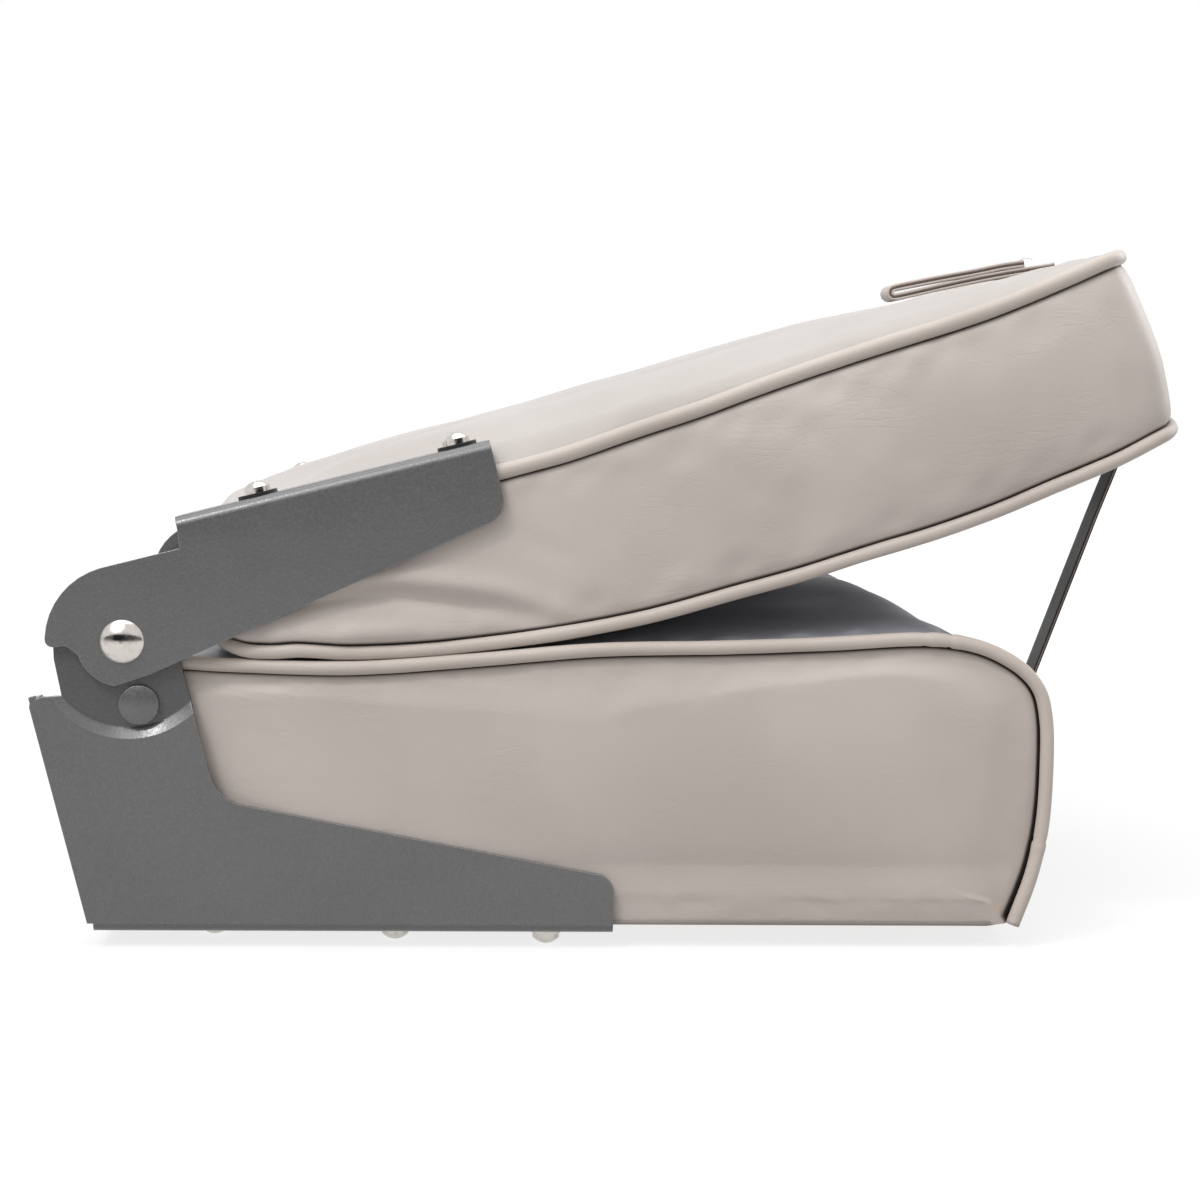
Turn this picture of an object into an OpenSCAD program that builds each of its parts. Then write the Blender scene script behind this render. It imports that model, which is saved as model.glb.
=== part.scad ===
// Folding fishing boat seat, drawn with its backrest folded down on the seat cushion.
// +X is the front of the seat, +Y its left side and +Z is up. The origin is the centre of
// the pedestal bolt pattern, on the underside of the plywood base board.

/* [Seat cushion] */
// Length of the seat cushion, rear edge to front piping
seat_len = 432; // [400:1:470]
// Height of the seat cushion from its hem to the highest piping
seat_h = 136; // [120:1:150]
// Width over the two hinge brackets
seat_w = 430; // [390:1:480]
// Bolt pattern centre to the rear edge of the seat cushion
bolt_to_rear = 224; // [200:1:240]
// How far the seat cushion crowns at mid-width
seat_crown = 18; // [8:0.5:20]
// How much wider each side gets in front of the hinge ears
seat_flare = 5; // [2:0.5:6]
// How far the seat's side panels bulge
seat_bulge = 4; // [0:0.5:5]

/* [Backrest cushion] */
// Length of the backrest cushion
back_len = 480; // [460:1:520]
// Reference thickness of the backrest cushion
back_t = 100; // [90:1:104]
// Pivot to the backrest's lower end
back_start = 40; // [38:0.5:46]
// How far the back panel crowns
back_crown = 24; // [12:0.5:26]
// How far the front panel crowns
front_crown = 4; // [0:0.5:6]
// How far the backrest's boxing bulges
back_bulge = 6; // [0:0.5:7]
// How far the backrest's top end leans back from the press stud to the back piping
back_lean = 7; // [4:0.5:8]

/* [Upholstery] */
// Thickness of the vinyl and its backing
vinyl_t = 1.3; // [0.8:0.1:1.6]
// Radius of the piping
pipe_r = 3.1; // [2.5:0.1:3.4]
// How far the piping stands above the panels
pipe_proud = 2; // [1.6:0.1:2.4]
// Thickness of the hem under the board
hem_t = 1; // [0.6:0.1:1.4]
// Width of the hem under the board
hem_w = 26; // [18:1:34]

/* [Boards] */
// Thickness of the seat's plywood board
board_t = 12; // [9:0.5:15]
// Thickness of the backrest's plywood board
back_board_t = 9; // [8:0.5:12]
// Spacing of the pedestal bolts both ways
bolt_spacing = 127; // [100:0.5:180]
// Radius of the pedestal bolt holes
bolt_hole_r = 3.3; // [2.5:0.1:4]

/* [Hinge] */
// Pivot centre behind the bolt pattern centre
pivot_back = 215.3; // [205:0.1:220]
// Pivot centre over the underside of the board
pivot_h = 127; // [122:0.1:132]
// Slope of the folded backrest
fold_angle = 14.7; // [14.6:0.1:16]
// Thickness of the bracket and arm plates
plate_t = 3; // [2:0.1:3.2]
// Inside radius of the plate bends
bend_r = 2; // [1:0.1:3]
// Thickness of the nylon washer between arm and ear
slip_t = 0.5; // [0.4:0.05:1]
// Radius of the arm's round lobe about the pivot
lobe_r = 34; // [32.5:0.1:35]
// Length of the arm, pivot to its front edge
arm_len = 180; // [150:1:200]
// Height of the arm's top flange over the pivot line
arm_h = 48; // [47:0.1:54]
// Width of the arm's top flange
arm_flange = 29; // [26:0.5:40]
// Length of the lower bracket in front of the pivot
bracket_len = 221.5; // [190:0.5:240]
// Widest part of the lower bracket's bottom flange
bracket_flange = 44; // [42:0.5:60]
// Width of the lower bracket's rear flange
rear_flange = 20; // [12:0.5:30]
// Lean of the lower bracket's rear edge
rear_lean = 14.6; // [12:0.1:16]
// Radius of the pivot rivet's shank
pivot_r = 5; // [4:0.1:6]
// Radius of the pivot rivet's domed head
pivot_head_r = 9.6; // [8:0.1:12]
// Radius of the stop rivet's head
stop_head_r = 8.7; // [7:0.1:9]

/* [Screws] */
// Radius of the screw shanks
screw_r = 3; // [2.5:0.1:3.2]
// Radius of the screw heads
screw_head_r = 6.2; // [5:0.1:7]
// Height of the screw heads
screw_head_h = 5.4; // [3:0.1:6]
// Radius of the black washers on the arms
washer_r = 9; // [7:0.1:10]
// Thickness of the washers
washer_t = 1.6; // [1:0.1:2]

/* [Tie-down strap] */
// Width of the strap and of the pull tab
strap_w = 20; // [15:1:30]
// Thickness of the strap
strap_t = 2; // [1.2:0.1:2.2]
// Radius of the press stud
stud_r = 6.5; // [5:0.1:8]

/* [Hidden] */
$fn = 48;

// Gap between pieces that lie against each other, and the overrun of cuts
gap = 0.3;
over = 1;
// Clearance of a bolt in its hole, and of a rivet in the part that turns on it
hole_play = 0.3;
turn_play = 0.05;
half_w = seat_w / 2;
rear_x = -bolt_to_rear;
pivot_x = -pivot_back;

vinyl = "#b8b0aa";
charcoal = "#55575c";
grey_paint = "#6b6b6b";
steel = "silver";
wood = "burlywood";

// Seat side outline along the piping's outer line, from the rear bottom over the top to
// the front bottom: shares of the length, of the height and of the crown
seat_outline_shares = [
    [0, 0, 0], [0, 0.3, 0], [0, 0.66, 0], [0.007, 0.79, 0], [0.028, 0.862, 0],
    [0.06, 0.889, 0], [0.125, 0.884, 0], [0.234, 0.88, 0], [0.285, 0.886, 0],
    [0.388, 0.914, 0.02], [0.513, 0.951, 0.2], [0.645, 0.964, 0.56], [0.754, 0.98, 0.72],
    [0.848, 0.999, 0.56], [0.884, 0.995, 0.14], [0.917, 0.976, -0.5], [0.942, 0.946, -0.7],
    [0.971, 0.888, -0.35], [0.99, 0.812, 0.1], [0.998, 0.71, 0.4], [1, 0.545, 0.7],
    [0.997, 0.34, 0.8], [0.987, 0.175, 0.8], [0.968, 0, 0.7]
];
// Where the seat's sides flare and bulge, as shares of its length and height
flare_from_share = 0.09;
flare_to_share = 0.24;
bulge_from_share = 0.18;
bulge_to_share = 0.66;
bulge_low_share = 0.2;
board_flare_to_share = 0.36;
// Rings of a panel: how far each lies from its middle, and stations over the width
side_ring_shares = [0.82, 0.5];
seat_station_shares = [-1, -0.86, -0.5, 0, 0.5, 0.86, 1];
seat_crown_power = 2.4;

// Half of the backrest's outline in plan, from the middle of its lower end round to the
// middle of its top end: shares of the length and of the half width
back_plan_shares = [
    [-0.012, 0], [-0.012, 0.45], [-0.012, 0.7], [-0.011, 0.86], [-0.005, 0.94], [0.012, 0.985],
    [0.045, 1], [0.17, 1], [0.3, 1], [0.42, 1], [0.54, 1], [0.66, 1], [0.78, 1], [0.853, 0.998],
    [0.9, 0.985], [0.927, 0.95], [0.944, 0.88], [0.962, 0.75], [0.985, 0.5], [1, 0.25], [1.005, 0]
];
// Front and back outlines of the backrest against its length, as shares of the reference
// thickness, measured from the pivot line
front_line_shares = [
    [-0.012, -0.1], [0, -0.15], [0.02, -0.204], [0.045, -0.241], [0.071, -0.264],
    [0.11, -0.322], [0.162, -0.379], [0.254, -0.446], [0.348, -0.488], [0.39, -0.497],
    [0.49, -0.487], [0.546, -0.481], [0.613, -0.46], [0.685, -0.442], [0.742, -0.414],
    [0.804, -0.367], [0.865, -0.323], [0.919, -0.274], [1, -0.262]
];
back_line_shares = [
    [0, 0.36], [0.3, 0.361], [0.354, 0.367], [0.431, 0.4], [0.492, 0.423], [0.55, 0.455],
    [0.679, 0.508], [0.738, 0.525], [0.788, 0.546], [0.848, 0.584], [0.89, 0.614],
    [0.919, 0.632], [1, 0.627]
];
// Crown of the back and front panels against the backrest's length, in shares
back_crown_line_shares = [
    [0, 1], [0.36, 1], [0.45, 0.94], [0.55, 0.82], [0.69, 0.68], [0.81, 0.44], [0.9, 0.17],
    [1, 0.02]
];
front_crown_line_shares = [[0, 0.1], [0.3, 0.1], [0.6, 0.7], [1, 1]];
// Bulge of the boxing against the backrest's length
boxing_bulge_line_shares = [[0, 0.2], [0.31, 0.2], [0.5, 0.8], [0.85, 1], [0.95, 0.3], [1, 0.2]];
// Rings of the back panel: distance from the middle, share of the crown at the sides and at
// the hinge end, which is filled fuller. Rings of the front panel: distance and crown
back_ring_shares = [[0.868, 0.427, 0.86], [0.72, 0.78, 0.97], [0.45, 0.94, 0.98]];
front_ring_shares = [[0.85, 0.55], [0.5, 0.9]];
// Distance of the back panel's pressed rim from the outline, and its shares of the crown at
// the sides and at the hinge end
rim_inset = 12;
rim_crown_share = 0.427;
rim_end_share = 0.68;
// Half widths between which the hinge end's fuller crown fades to that of the sides
end_fill_shares = [0.6, 0.88];
// Where along the backrest its top end starts to lean back, and leans fully
lean_from_share = 0.72;
lean_to_share = 0.96;

// Seat joint values
ear_gap = slip_t + 2 * turn_play;
ear_d = plate_t + ear_gap;
ear_in = ear_d + plate_t;
pipe_gap = 0.25;
pipe_clear = pipe_r + pipe_gap;
panel_inset = pipe_proud;
inner_inset = panel_inset + vinyl_t;
foam_inset = inner_inset + gap;
// Half width over the centres of the seat piping at the rear, and of the backrest piping
seat_pipe_y = half_w - ear_in - gap - pipe_r;
back_pipe_y = half_w - plate_t - 2 * gap - pipe_r;

// Small geometry helpers
function unit(v) = v / norm(v);
function smooth(t) = let (k = max(0, min(1, t))) k * k * (3 - 2 * k);
function ramp(x, a, b) = smooth((x - a) / (b - a));
function arc(c, r, a0, a1, n) =
    [for (i = [0 : n]) let (a = a0 + (a1 - a0) * i / n) [c[0] + r * cos(a), c[1] + r * sin(a)]];

// Corner b of a path a, b, c rounded with radius r, as a few points
function round_corner(a, b, c, r, n = 6) =
    let (u = unit(a - b), w = unit(c - b), half = acos(u * w) / 2)
    r <= 0 || half > 89 ? [b]
    : let (
        m = b + unit(u + w) * (r / sin(half)),
        p = b + u * (r / tan(half)) - m,
        q = b + w * (r / tan(half)) - m,
        a0 = atan2(p[1], p[0]),
        turn = atan2(p[0] * q[1] - p[1] * q[0], p * q)
    ) arc(m, r, a0, a0 + turn, n);

// Closed outline with rounded corners from a list of [x, y, radius]
function rounded(p) =
    let (n = len(p), xy = [for (q = p) [q[0], q[1]]])
    [for (i = [0 : n - 1])
        each round_corner(xy[(i + n - 1) % n], xy[i], xy[(i + 1) % n], p[i][2])];

// Outward normals of a path whose outside lies on its left
function path_normals(p, closed) =
    let (n = len(p))
    [for (i = [0 : n - 1])
        let (
            a = p[closed ? (i + n - 1) % n : max(0, i - 1)],
            b = p[closed ? (i + 1) % n : min(n - 1, i + 1)],
            t = unit(b - a)
        ) [-t[1], t[0]]];

// Closed solid through rings with the same number of points. The ends are closed by fans
// to two end points or, on a thin strip, by a ladder, and a loop joins its last ring to
// its first one. Rings that run the other way round are turned.
module skin(rings, ends = [], loop = false, turned = false) {
    n = len(rings[0]);
    m = len(rings);
    last = (m - 1) * n;
    sides = [for (j = [0 : m - (loop ? 1 : 2)], i = [0 : n - 1])
        let (
            a = j * n + i,
            b = j * n + (i + 1) % n,
            c = (j + 1) % m * n + (i + 1) % n,
            d = (j + 1) % m * n + i
        ) each [[a, b, c], [a, c, d]]];
    fans = [for (i = [0 : n - 1])
        each [[m * n, (i + 1) % n, i], [m * n + 1, last + i, last + (i + 1) % n]]];
    ladder = [for (j = [0 : n / 2 - 2])
        let (k = n - 1 - j)
        each [[j, k, k - 1], [j, k - 1, j + 1],
            [last + j, last + k - 1, last + k], [last + j, last + j + 1, last + k - 1]]];
    caps = loop ? [] : len(ends) > 0 ? fans : ladder;
    faces = [for (f = concat(sides, caps)) turned ? [f[0], f[2], f[1]] : f];
    polyhedron([for (r = rings) each r, each ends], faces);
}

// Left side of the seat as drawn on the right side
module left() {
    mirror([0, 1, 0]) children();
}

// The backrest's own frame: X along it from the pivot, Z out of its back
module in_backrest() {
    translate([pivot_x, 0, pivot_h]) rotate([0, -fold_angle, 0]) children();
}

// Upright plate between two depths from the bracket's outer face, from an X-Z outline
module side_plate(points, d0, d1) {
    translate([0, -half_w + d1, 0])
        rotate([90, 0, 0])
            linear_extrude(d1 - d0) polygon(points);
}

// Round bar along Y between two depths from the bracket's outer face
module side_bar(x, z, r, d0, d1) {
    translate([x, -half_w + d1, z]) rotate([90, 0, 0]) cylinder(h = d1 - d0, r = r);
}

// Shallow domed head along -Y, its rim at the given depth
module side_dome(x, z, r, h, d) {
    ball = (r * r + h * h) / (2 * h);
    translate([x, -half_w + d, z])
        rotate([90, 0, 0])
            intersection() {
                translate([0, 0, h - ball]) sphere(r = ball, $fn = 64);
                cylinder(h = h + over, r = r);
            }
}

// Shallow domed head along +Z
module dome(r, h) {
    ball = (r * r + h * h) / (2 * h);
    intersection() {
        translate([0, 0, h - ball]) sphere(r = ball, $fn = 64);
        cylinder(h = h + over, r = r);
    }
}

// Quarter bend of a plate along X, from the side plate's inner face into a flange above
module bend(length) {
    rotate([90, 0, 90])
        linear_extrude(length)
            difference() {
                circle(r = bend_r + plate_t);
                circle(r = bend_r);
                translate([-2 * (bend_r + plate_t), 0]) square(4 * (bend_r + plate_t), center = false);
                translate([0, -2 * (bend_r + plate_t)]) square(4 * (bend_r + plate_t), center = false);
            }
}

// Seat outline, its normals and the points derived from them
seat_line = [for (s = seat_outline_shares) [rear_x + s[0] * seat_len, s[1] * seat_h - hem_t]];
seat_last = len(seat_line) - 1;
seat_raw_n = path_normals(seat_line, false);
seat_n = [for (i = [0 : seat_last])
    i == 0 || i == seat_last ? [1 / seat_raw_n[i][0], 0] : seat_raw_n[i]];
seat_mid = [rear_x + seat_len / 2, seat_h * 0.46];

function seat_flare_at(x) =
    seat_flare * ramp(x, rear_x + flare_from_share * seat_len, rear_x + flare_to_share * seat_len);
function seat_bulge_at(x, z) =
    let (t = (z / seat_h - bulge_low_share) / (1 - bulge_low_share))
    t < 0 || t > 1 ? 0
    : seat_bulge * 4 * t * (1 - t)
        * ramp(x, rear_x + bulge_from_share * seat_len, rear_x + bulge_to_share * seat_len);

// Point of the seat outline drawn in by an inset; the foam's ends stop over the board
function seat_edge(i, inset, floor_z) =
    let (p = seat_line[i], q = seat_line[i == 0 ? 1 : seat_last - 1])
    (i == 0 || i == seat_last) && floor_z > p[1]
        ? p + (q - p) * (floor_z - p[1]) / (q[1] - p[1]) - seat_n[i] * inset
        : p - seat_n[i] * inset;
function seat_arch(inset, floor_z = -hem_t) =
    [for (i = [0 : seat_last]) seat_edge(i, inset, floor_z)];

// The same outline closed along the bottom, with points where the sides flare
function seat_loop(inset, floor_z = -hem_t) =
    concat(seat_arch(inset, floor_z), [for (s = [flare_to_share, flare_from_share])
        [rear_x + s * seat_len, floor_z]]);

// Crown of the seat at outline point i and width share s
function seat_crown_at(i, s) =
    i > seat_last ? 0
    : seat_crown * seat_outline_shares[i][2] * (1 - pow(abs(s), seat_crown_power));
function seat_push(i) =
    i > seat_last ? [0, 0]
    : [max(0, seat_n[i][0]), max(0, seat_n[i][1])] / norm(seat_n[i]);
function seat_station(arch, s, side_in) =
    [for (i = [0 : len(arch) - 1])
        let (
            x = i > seat_last ? arch[i][0] : seat_line[i][0],
            y = s * (seat_pipe_y + seat_flare_at(x) - side_in),
            p = arch[i] + seat_push(i) * seat_crown_at(i, s)
        ) [p[0], y, p[1]]];

// Ring on a side of the seat, drawn towards the side's middle by a share
function seat_side_ring(edge, k, side_out, side) =
    [for (p = edge)
        let (x = seat_mid[0] + (p[0] - seat_mid[0]) * k, z = seat_mid[1] + (p[1] - seat_mid[1]) * k)
        [x, side * (seat_pipe_y + seat_flare_at(x) + side_out + (k < 1 ? seat_bulge_at(x, z) : 0)), z]];
function seat_side_middle(side_out, side) =
    let (x = seat_mid[0], z = seat_mid[1])
    [x, side * (seat_pipe_y + seat_flare_at(x) + side_out + seat_bulge_at(x, z)), z];

side_face = pipe_r - pipe_proud;

// Plywood base board in plan, with round corners and a bowed front edge
board_corner_r = 3 * pipe_r;
function board_plan(inset) =
    let (
        x0 = rear_x + foam_inset + inset,
        x1 = seat_line[seat_last][0] - foam_inset - 2 * gap - inset,
        xa = rear_x + flare_from_share * seat_len,
        xb = rear_x + board_flare_to_share * seat_len,
        y0 = seat_pipe_y + side_face - vinyl_t - gap - inset,
        bow = seat_crown * seat_outline_shares[seat_last][2]
    )
    rounded(concat(
        [[x0, -y0, board_corner_r], [xa, -y0, 0], [xb, -y0 - seat_flare, 0]],
        [for (s = seat_station_shares)
            [x1 + bow * (1 - pow(abs(s), seat_crown_power)), s * (y0 + seat_flare),
                abs(s) == 1 ? board_corner_r : 0]],
        [[xb, y0 + seat_flare, 0], [xa, y0, 0], [x0, y0, board_corner_r]]
    ));

// Places of the screws: through the lower brackets, and through the arms
bracket_screw_shares = [0.177, 0.552, 0.864];
bracket_screw_d = [32, 22, 14];
bracket_screws = [for (i = [0 : 2]) [pivot_x + bracket_screw_shares[i] * bracket_len, bracket_screw_d[i]]];
arm_screw_shares = [0.406, 0.919];
arm_screw_d = 17;
mount_places = [for (x = [-1, 1], y = [-1, 1]) [x * bolt_spacing / 2, y * bolt_spacing / 2]];
tee_flange_r = 8;
tee_flange_t = 1.5;
tee_barrel_r = 4.3;
insert_r = 5;

// All bracket screw places on both sides
module at_bracket_screws() {
    for (side = [-1, 1], s = bracket_screws)
        translate([s[0], side * (half_w - s[1]), 0]) children();
}

module at_mount_places() {
    for (p = mount_places)
        translate([p[0], p[1], 0]) children();
}

module at_arm_screws() {
    for (side = [-1, 1], s = arm_screw_shares)
        translate([s * arm_len, side * (half_w - arm_screw_d), 0]) children();
}

module seat_base_board() {
    color(wood)
    difference() {
        linear_extrude(board_t) polygon(board_plan(0));
        at_mount_places() tee_pocket();
        at_bracket_screws() tee_pocket();
        translate([strap_screw_x, 0, -over])
            cylinder(h = anchor_screw_len + over, r = anchor_screw_r + turn_play);
    }
}

// Pocket for a tee nut that is pressed in from the top of the board
module tee_pocket() {
    translate([0, 0, -over]) cylinder(h = board_t + 2 * over, r = tee_barrel_r + turn_play);
    translate([0, 0, board_t - tee_flange_t - turn_play])
        cylinder(h = tee_flange_t + over, r = tee_flange_r + turn_play);
}

module tee_nut(r) {
    difference() {
        union() {
            cylinder(h = board_t - turn_play, r = tee_barrel_r);
            translate([0, 0, board_t - tee_flange_t - turn_play / 2])
                cylinder(h = tee_flange_t - turn_play / 2, r = tee_flange_r);
        }
        translate([0, 0, -over]) cylinder(h = board_t + 2 * over, r = r);
    }
}

module seat_mount_tee_nuts() {
    color(steel) at_mount_places() tee_nut(bolt_hole_r);
}

module seat_bracket_tee_nuts() {
    color(steel) at_bracket_screws() tee_nut(screw_r + turn_play);
}

foam_floor = board_t + gap;
foam_in = pipe_clear + pipe_proud / 2 - gap;
foam_play = 2 * gap;

module seat_foam() {
    top = seat_loop(inner_inset + 5 * foam_play, foam_floor);
    edge = seat_loop(pipe_r + foam_in, foam_floor);
    out = side_face - vinyl_t - 2 * foam_play;
    color("lightyellow")
    skin(
        concat(
            [for (k = [1, 0]) seat_side_ring(edge, side_ring_shares[k], out, -1)],
            [seat_side_ring(edge, 1, out, -1)],
            [for (s = seat_station_shares) seat_station(top, s, foam_in)],
            [seat_side_ring(edge, 1, out, 1)],
            [for (k = side_ring_shares) seat_side_ring(edge, k, out, 1)]
        ),
        [seat_side_middle(out, -1), seat_side_middle(out, 1)],
        turned = true
    );
}

module seat_top_panel() {
    outer = seat_arch(panel_inset);
    inner = seat_arch(inner_inset);
    top = [for (s = seat_station_shares) seat_station(outer, s, pipe_clear)];
    low = [for (s = seat_station_shares) seat_station(inner, s, pipe_clear)];
    m = len(top) - 1;
    color(charcoal)
    skin([for (i = [0 : seat_last])
        concat([for (j = [0 : m]) top[j][i]], [for (j = [m : -1 : 0]) low[j][i]])]);
}

module seat_side_panel_right() {
    edge = seat_loop(pipe_r + pipe_clear, gap);
    face = side_face;
    back = side_face - vinyl_t;
    color(vinyl)
    skin(
        [
            seat_side_ring(edge, side_ring_shares[1], face, -1),
            seat_side_ring(edge, side_ring_shares[0], face, -1),
            seat_side_ring(edge, 1, face, -1),
            seat_side_ring(edge, 1, back, -1),
            seat_side_ring(edge, side_ring_shares[0], back, -1),
            seat_side_ring(edge, side_ring_shares[1], back, -1)
        ],
        [seat_side_middle(face, -1), seat_side_middle(back, -1)],
        turned = true
    );
}

module seat_side_panel_left() {
    left() seat_side_panel_right();
}

pipe_sides = 8;

module seat_piping_right() {
    line = seat_arch(pipe_r);
    rings = [for (i = [0 : seat_last])
        let (y = -(seat_pipe_y + seat_flare_at(seat_line[i][0])))
        [for (k = [0 : pipe_sides - 1])
            let (a = 360 * k / pipe_sides, q = line[i] + seat_n[i] * pipe_r * sin(a))
            [q[0], y + pipe_r * cos(a), q[1]]]];
    color(vinyl)
    skin(rings, [for (i = [0, seat_last])
        [line[i][0], -(seat_pipe_y + seat_flare_at(seat_line[i][0])), line[i][1]]], turned = true);
}

module seat_piping_left() {
    left() seat_piping_right();
}

module seat_hem() {
    color(charcoal)
    difference() {
        translate([0, 0, -hem_t]) linear_extrude(hem_t) polygon(board_plan(0));
        translate([0, 0, -hem_t - over]) linear_extrude(hem_t + 2 * over) polygon(board_plan(hem_w));
        at_bracket_screws() translate([0, 0, -hem_t - over])
            cylinder(h = hem_t + 2 * over, r = screw_r + hole_play);
        translate([strap_screw_x, 0, -hem_t - over])
            cylinder(h = hem_t + 2 * over, r = anchor_screw_r + hole_play);
    }
}

staple_len = 10;
staple_w = 1.2;
staple_t = 0.6;
staple_pitch = 26;

module staple() {
    translate([-staple_len / 2, -staple_w / 2, -staple_t]) cube([staple_len, staple_w, staple_t]);
}

// Staples along the front, rear and the open part of the sides of the hem
module seat_staples() {
    row_y = seat_pipe_y - hem_w * 0.72;
    front_x = seat_line[seat_last][0];
    color(steel)
    translate([0, 0, -hem_t]) {
        for (side = [-1, 1], x = [pivot_x + bracket_len + staple_pitch : staple_pitch : front_x - hem_w])
            translate([x, side * row_y, 0]) staple();
        for (y = [-row_y + 2 * staple_pitch : staple_pitch : row_y - 2 * staple_pitch])
            if (abs(y) > strap_w) translate([front_x - hem_w * 0.4, y, 0]) staple();
        for (y = [-row_y + 2 * staple_pitch : staple_pitch : row_y - 2 * staple_pitch])
            translate([rear_x + hem_w * 0.7, y, 0]) rotate([0, 0, 90]) staple();
    }
}

// Lower bracket outline against the pivot. Across, its front part is in shares of its
// length and its ear and rear edge in shares of the lobe's radius, with corner radii in
// the same shares. Upwards, both are in shares of the pivot's height over the foot.
foot_z = -hem_t - plate_t;
foot_h = pivot_h - foot_z;
bracket_front_shares = [[0.999, -0.97, 0], [0.999, -0.803, 0.038], [0.19, -0.542, 0.085]];
bracket_ear_shares = [
    [0.48, 0.188, 0.55], [-1.147, 0.24, 0.86], [-0.792, -0.192, 0],
    [-1.042, -0.192, 0.1], [-1.212, -0.216, 0.08], [-0.443, -0.97, 0]
];
bracket_heel_share = 0.365;
recess_shares = [0.07, -0.053];
recess_r = lobe_r * 1.23;
recess_step = 5;

module lower_bracket_right() {
    outline = rounded(concat(
        [for (s = bracket_front_shares)
            [pivot_x + s[0] * bracket_len, pivot_h + s[1] * foot_h, s[2] * bracket_len]],
        [for (s = bracket_ear_shares)
            [pivot_x + s[0] * lobe_r, pivot_h + s[1] * foot_h, s[2] * lobe_r]]
    ));
    rx = pivot_x + recess_shares[0] * lobe_r;
    rz = pivot_h + recess_shares[1] * lobe_r;
    front_x = pivot_x + bracket_front_shares[0][0] * bracket_len;
    heel_x = pivot_x - bracket_heel_share * lobe_r;
    color(grey_paint)
    difference() {
        union() {
            difference() {
                union() {
                    side_plate(outline, 0, plate_t);
                    intersection() {
                        side_plate(outline, 0, ear_in);
                        side_cone(rx, rz, recess_r + plate_t, recess_r + plate_t - recess_step, 0, ear_in);
                    }
                }
                side_cone(rx, rz, recess_r + over * recess_step / ear_d, recess_r - recess_step,
                    -over, ear_d);
            }
            bottom_flange(heel_x, front_x);
            rear_return();
        }
        side_bar(pivot_x, pivot_h, pivot_r + turn_play, -over, ear_in + over);
        side_bar(stop_x, stop_z, stop_r + turn_play, -over, ear_in + over);
        for (s = bracket_screws)
            translate([s[0], -half_w + s[1], foot_z - over])
                cylinder(h = plate_t + 2 * over, r = screw_r + hole_play);
    }
}

// Cone along Y between two depths, with its radii at the first and the last
module side_cone(x, z, r0, r1, d0, d1) {
    translate([x, -half_w + d0, z]) rotate([-90, 0, 0]) cylinder(h = d1 - d0, r1 = r0, r2 = r1, $fn = 96);
}

// Bottom flange of the lower bracket, wide at the rear and narrow in front
module bottom_flange(x0, x1) {
    r = bend_r + plate_t;
    front_d = bracket_flange * 0.6;
    translate([x0, -half_w + r, foot_z + r]) bend(x1 - x0);
    translate([0, 0, foot_z])
        linear_extrude(plate_t)
            polygon(rounded([
                [x0, -half_w + r, 0], [x1, -half_w + r, 0], [x1, -half_w + front_d, 6 * bend_r],
                [x0, -half_w + bracket_flange, 3 * bend_r]
            ]));
}

// Rear flange of the lower bracket along its leaning rear edge
module rear_return() {
    r = bend_r + plate_t;
    x0 = pivot_x + bracket_ear_shares[5][0] * lobe_r;
    height = (foot_h * 0.765) / cos(rear_lean);
    translate([x0, -half_w, foot_z + foot_h * 0.04])
        rotate([0, -rear_lean, 0]) {
            translate([0, plate_t - turn_play, 0]) cube([plate_t, rear_flange - plate_t, height * 0.985]);
            cube([plate_t, plate_t, height]);
        }
}

// Stop rivet that the arm's nose meets when the backrest is open
stop_shares = [0.218, -0.837];
stop_x = pivot_x + stop_shares[0] * lobe_r;
stop_z = pivot_h + stop_shares[1] * lobe_r;
stop_r = 4;
stop_head_h = 3;
stop_dome_h = 1.4;

module stop_rivet_right() {
    color(grey_paint)
    union() {
        side_bar(stop_x, stop_z, stop_head_r, ear_d - stop_head_h + turn_play, ear_d);
        side_dome(stop_x, stop_z, stop_head_r, stop_dome_h, ear_d - stop_head_h + turn_play);
        side_bar(stop_x, stop_z, stop_r, ear_d, ear_in);
    }
}

pivot_head_h = 4;
pivot_tail_r = 7.5;
pivot_tail_h = 1.8;

module pivot_rivet_right() {
    color(steel)
    union() {
        side_dome(pivot_x, pivot_h, pivot_head_r, pivot_head_h, -turn_play);
        side_bar(pivot_x, pivot_h, pivot_r, -turn_play, ear_in + pivot_tail_h);
        side_bar(pivot_x, pivot_h, pivot_tail_r, ear_in, ear_in + pivot_tail_h);
    }
}

module pivot_rivet_left() {
    left() pivot_rivet_right();
}

module stop_rivet_left() {
    left() stop_rivet_right();
}

module lower_bracket_left() {
    left() lower_bracket_right();
}

module pivot_washer() {
    difference() {
        side_bar(pivot_x, pivot_h, pivot_r * 2.6, plate_t + turn_play, plate_t + turn_play + slip_t);
        side_bar(pivot_x, pivot_h, pivot_r + turn_play, 0, ear_in);
    }
}

module pivot_washers() {
    color("white") {
        pivot_washer();
        left() pivot_washer();
    }
}

// Pan head screw pointing up, its head hanging below z = 0, with a cross recess
module pan_screw(length) {
    difference() {
        union() {
            translate([0, 0, -screw_head_h * 0.45]) cylinder(h = screw_head_h * 0.45, r = screw_head_r);
            translate([0, 0, -screw_head_h * 0.45])
                rotate([180, 0, 0]) dome(screw_head_r, screw_head_h * 0.55);
            cylinder(h = length, r = screw_r);
        }
        for (a = [0, 90])
            rotate([0, 0, a])
                translate([-screw_r, -screw_r * 0.2, -screw_head_h - over])
                    cube([2 * screw_r, screw_r * 0.4, over + screw_head_h * 0.55]);
    }
}

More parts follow.
